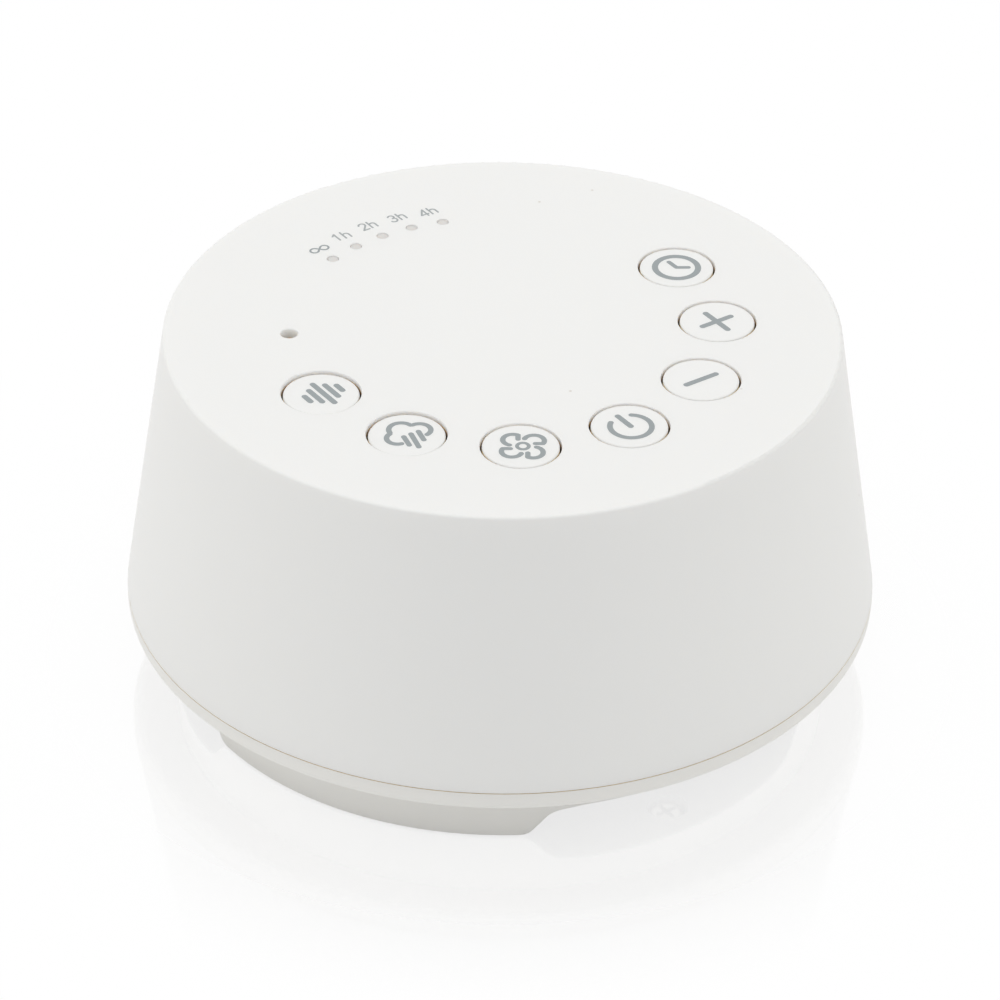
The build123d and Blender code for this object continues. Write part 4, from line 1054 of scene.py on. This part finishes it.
def flexing_ring(node, name, finish):
    """Soft ring in a node's place, from a merged copy of the node's mesh."""
    same_point, sharpest = 0.0001 * MM, radians(40)
    ring = bmesh.new()
    ring.from_mesh(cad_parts[node].data)
    bmesh.ops.remove_doubles(ring, verts=ring.verts[:], dist=same_point)
    for edge in ring.edges:
        edge.smooth = edge.calc_face_angle(0) < sharpest
    piece = add_piece(name, finished(ring, name), finish, "housing")
    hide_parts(node)
    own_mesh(piece)


class SOUNDMACHINE_OT_wires(bpy.types.Operator):
    """Finish the wires"""
    bl_idname = "soundmachine.wires"
    bl_label = "Wires"

    def execute(self, context):
        dress(wire_insulation(), "usb_leads", "speaker_leads")
        return {"FINISHED"}


class SOUNDMACHINE_OT_camera(bpy.types.Operator):
    """Place the camera in front of the machine, to its left and above it"""
    bl_idname = "soundmachine.camera"
    bl_label = "Camera"

    def execute(self, context):
        studio = context.scene.machine_studio
        data = bpy.data.cameras.new("camera")
        data.sensor_width = 36
        data.lens = studio.lens
        data.shift_x = studio.shift
        data.clip_start, data.clip_end = 0.01, 20
        camera = bpy.data.objects.new("camera", data)
        context.scene.collection.objects.link(camera)
        seam = Vector((0, 0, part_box("upper_housing")[0].z))
        level = cos(studio.elevation)
        back = Vector((sin(studio.azimuth) * level, -cos(studio.azimuth) * level,
                       sin(studio.elevation)))
        camera.location = seam + back * studio.distance
        sight = Vector((0, 0, studio.aim_height)) - camera.location
        facing = sight.to_track_quat("-Z", "Y").to_matrix().to_4x4()
        roll = Matrix.Rotation(studio.roll, 4, "Z")
        camera.matrix_world = Matrix.Translation(camera.location) @ facing @ roll
        context.scene.camera = camera
        return {"FINISHED"}


class SOUNDMACHINE_OT_stage(bpy.types.Operator):
    """Build the glossy white floor, the white room and the soft lamps"""
    bl_idname = "soundmachine.stage"
    bl_label = "Stage"

    def execute(self, context):
        studio = context.scene.machine_studio
        add_floor(studio)
        white_room(context.scene, studio.ambient)
        add_lamp("lamp_top", power=studio.top_power, **TOP_LAMP)
        side = Vector((cos(studio.azimuth), sin(studio.azimuth), 0))
        for name, reach in (("lamp_left", -SIDE_LAMP_REACH), ("lamp_right", SIDE_LAMP_REACH)):
            place = side * reach + Vector((0, 0, SIDE_LAMP_HEIGHT))
            add_lamp(name, place=place, power=studio.side_power, **SIDE_LAMP)
        context.scene.view_settings.view_transform = "Standard"
        return {"FINISHED"}


def add_lamp(name, place, aim, size, power, colour):
    """Rectangular soft lamp that faces a point."""
    data = bpy.data.lights.new(name, "AREA")
    data.shape = "RECTANGLE"
    data.size, data.size_y = size
    data.energy = power
    data.color = colour
    lamp = bpy.data.objects.new(name, data)
    bpy.context.scene.collection.objects.link(lamp)
    sight = Vector(aim) - Vector(place)
    facing = sight.to_track_quat("-Z", "Y").to_matrix().to_4x4()
    lamp.matrix_world = Matrix.Translation(place) @ facing
    lamp.visible_camera = False


def white_room(scene, strength):
    """World that lights softly and looks plain white to the camera, gloss and glass."""
    world = bpy.data.worlds.new("white_room")
    scene.world = world
    world.use_nodes = True
    tree = world.node_tree
    tree.nodes.clear()
    light = add_node(tree, "ShaderNodeBackground", {"Color": WHITE, "Strength": strength})
    seen = add_node(tree, "ShaderNodeBackground", {"Color": WHITE})
    mixed = blend(tree, any_seen(tree), light.outputs[0], seen.outputs[0])
    add_node(tree, "ShaderNodeOutputWorld", {"Surface": mixed})


def blend(tree, share, first, second):
    """Mix of two shaders."""
    return add_node(tree, "ShaderNodeMixShader", {0: share, 1: first, 2: second}).outputs[0]


def any_seen(tree):
    """1 for rays that show a surface to the camera, straight, mirrored or through glass."""
    rays = add_node(tree, "ShaderNodeLightPath").outputs
    total = rays["Is Camera Ray"]
    for other in ("Is Glossy Ray", "Is Transmission Ray"):
        inputs = {0: total, 1: rays[other]}
        total = add_node(tree, "ShaderNodeMath", inputs, operation="MAXIMUM").outputs[0]
    return total


def add_floor(studio):
    """Round floor, level with the machine's pads."""
    sheet = bmesh.new()
    level = Matrix.Translation((0, 0, cad_box[0].z))
    bmesh.ops.create_circle(sheet, cap_ends=True, segments=128, radius=FLOOR_RADIUS, matrix=level)
    mesh = bpy.data.meshes.new("floor")
    sheet.to_mesh(mesh)
    sheet.free()
    floor = bpy.data.objects.new("floor", mesh)
    bpy.context.scene.collection.objects.link(floor)
    mesh.materials.append(floor_gloss(studio))


def floor_gloss(studio):
    """White, with the machine's reflection and shadow near it."""
    material = bpy.data.materials.new("floor_gloss_white")
    material.use_nodes = True
    tree = material.node_tree
    tree.nodes.clear()
    place = add_node(tree, "ShaderNodeTexCoord").outputs["Object"]
    length = add_node(tree, "ShaderNodeVectorMath", {0: place}, operation="LENGTH")
    far = length.outputs["Value"]

    def surface(kind, colour, **inputs):
        return add_node(tree, kind, {"Color": colour, **inputs}).outputs[0]

    def fading(amount, limits):
        start, end = limits
        inputs = {"Value": far, "From Min": start, "From Max": end, "To Min": amount, "To Max": 0.0}
        node = add_node(tree, "ShaderNodeMapRange", inputs, interpolation_type="SMOOTHERSTEP")
        return node.outputs[0]

    matt = surface("ShaderNodeBsdfDiffuse", MATT_WHITE)
    white = surface("ShaderNodeBsdfDiffuse", WHITE)
    glow = surface("ShaderNodeEmission", WHITE, Strength=1.0)
    mirror = surface("ShaderNodeBsdfGlossy", WHITE, Roughness=MIRROR_ROUGHNESS)
    shaded = blend(tree, fading(studio.floor_shadow, SHADOW_FADE), glow, white)
    seen = blend(tree, fading(studio.floor_gloss, MIRROR_FADE), shaded, mirror)
    mixed = blend(tree, any_seen(tree), matt, seen)
    add_node(tree, "ShaderNodeOutputMaterial", {"Surface": mixed})
    return material


class SOUNDMACHINE_PT_panel(bpy.types.Panel):
    """Lists the machine's groups of pieces and its settings"""
    bl_idname = "SOUNDMACHINE_PT_panel"
    bl_label = "Sound Machine"
    bl_space_type = "VIEW_3D"
    bl_region_type = "UI"
    bl_category = "Sound Machine"

    def draw(self, context):
        for operator in OPERATORS:
            self.layout.operator(operator.bl_idname)
        for group in (context.scene.machine_shell, context.scene.machine_prints,
                      context.scene.machine_studio):
            box = self.layout.box()
            for key in group.__annotations__:
                box.prop(group, key)


SETTINGS = {
    "machine_shell": ShellSettings,
    "machine_prints": PrintSettings,
    "machine_studio": StudioSettings,
}
OPERATORS = (
    SOUNDMACHINE_OT_camera,
    SOUNDMACHINE_OT_shells,
    SOUNDMACHINE_OT_buttons,
    SOUNDMACHINE_OT_symbols,
    SOUNDMACHINE_OT_timer_labels,
    SOUNDMACHINE_OT_lamps,
    SOUNDMACHINE_OT_underside,
    SOUNDMACHINE_OT_dust_guard,
    SOUNDMACHINE_OT_inlet,
    SOUNDMACHINE_OT_electronics,
    SOUNDMACHINE_OT_loudspeaker,
    SOUNDMACHINE_OT_wires,
    SOUNDMACHINE_OT_stage,
)
CLASSES = (*SETTINGS.values(), *OPERATORS, SOUNDMACHINE_PT_panel)


def register():
    """Adds the classes and hangs the settings on the scene."""
    for item in CLASSES:
        bpy.utils.register_class(item)
    for name, group in SETTINGS.items():
        setattr(bpy.types.Scene, name, bpy.props.PointerProperty(type=group))


def unregister():
    """Takes the settings and classes away again."""
    for name in SETTINGS:
        delattr(bpy.types.Scene, name)
    for item in reversed(CLASSES):
        bpy.utils.unregister_class(item)


def main():
    """Builds everything in order."""
    register()
    for operator in OPERATORS:
        group, name = operator.bl_idname.split(".")
        getattr(getattr(bpy.ops, group), name)()


if __name__ == "__main__":
    main()
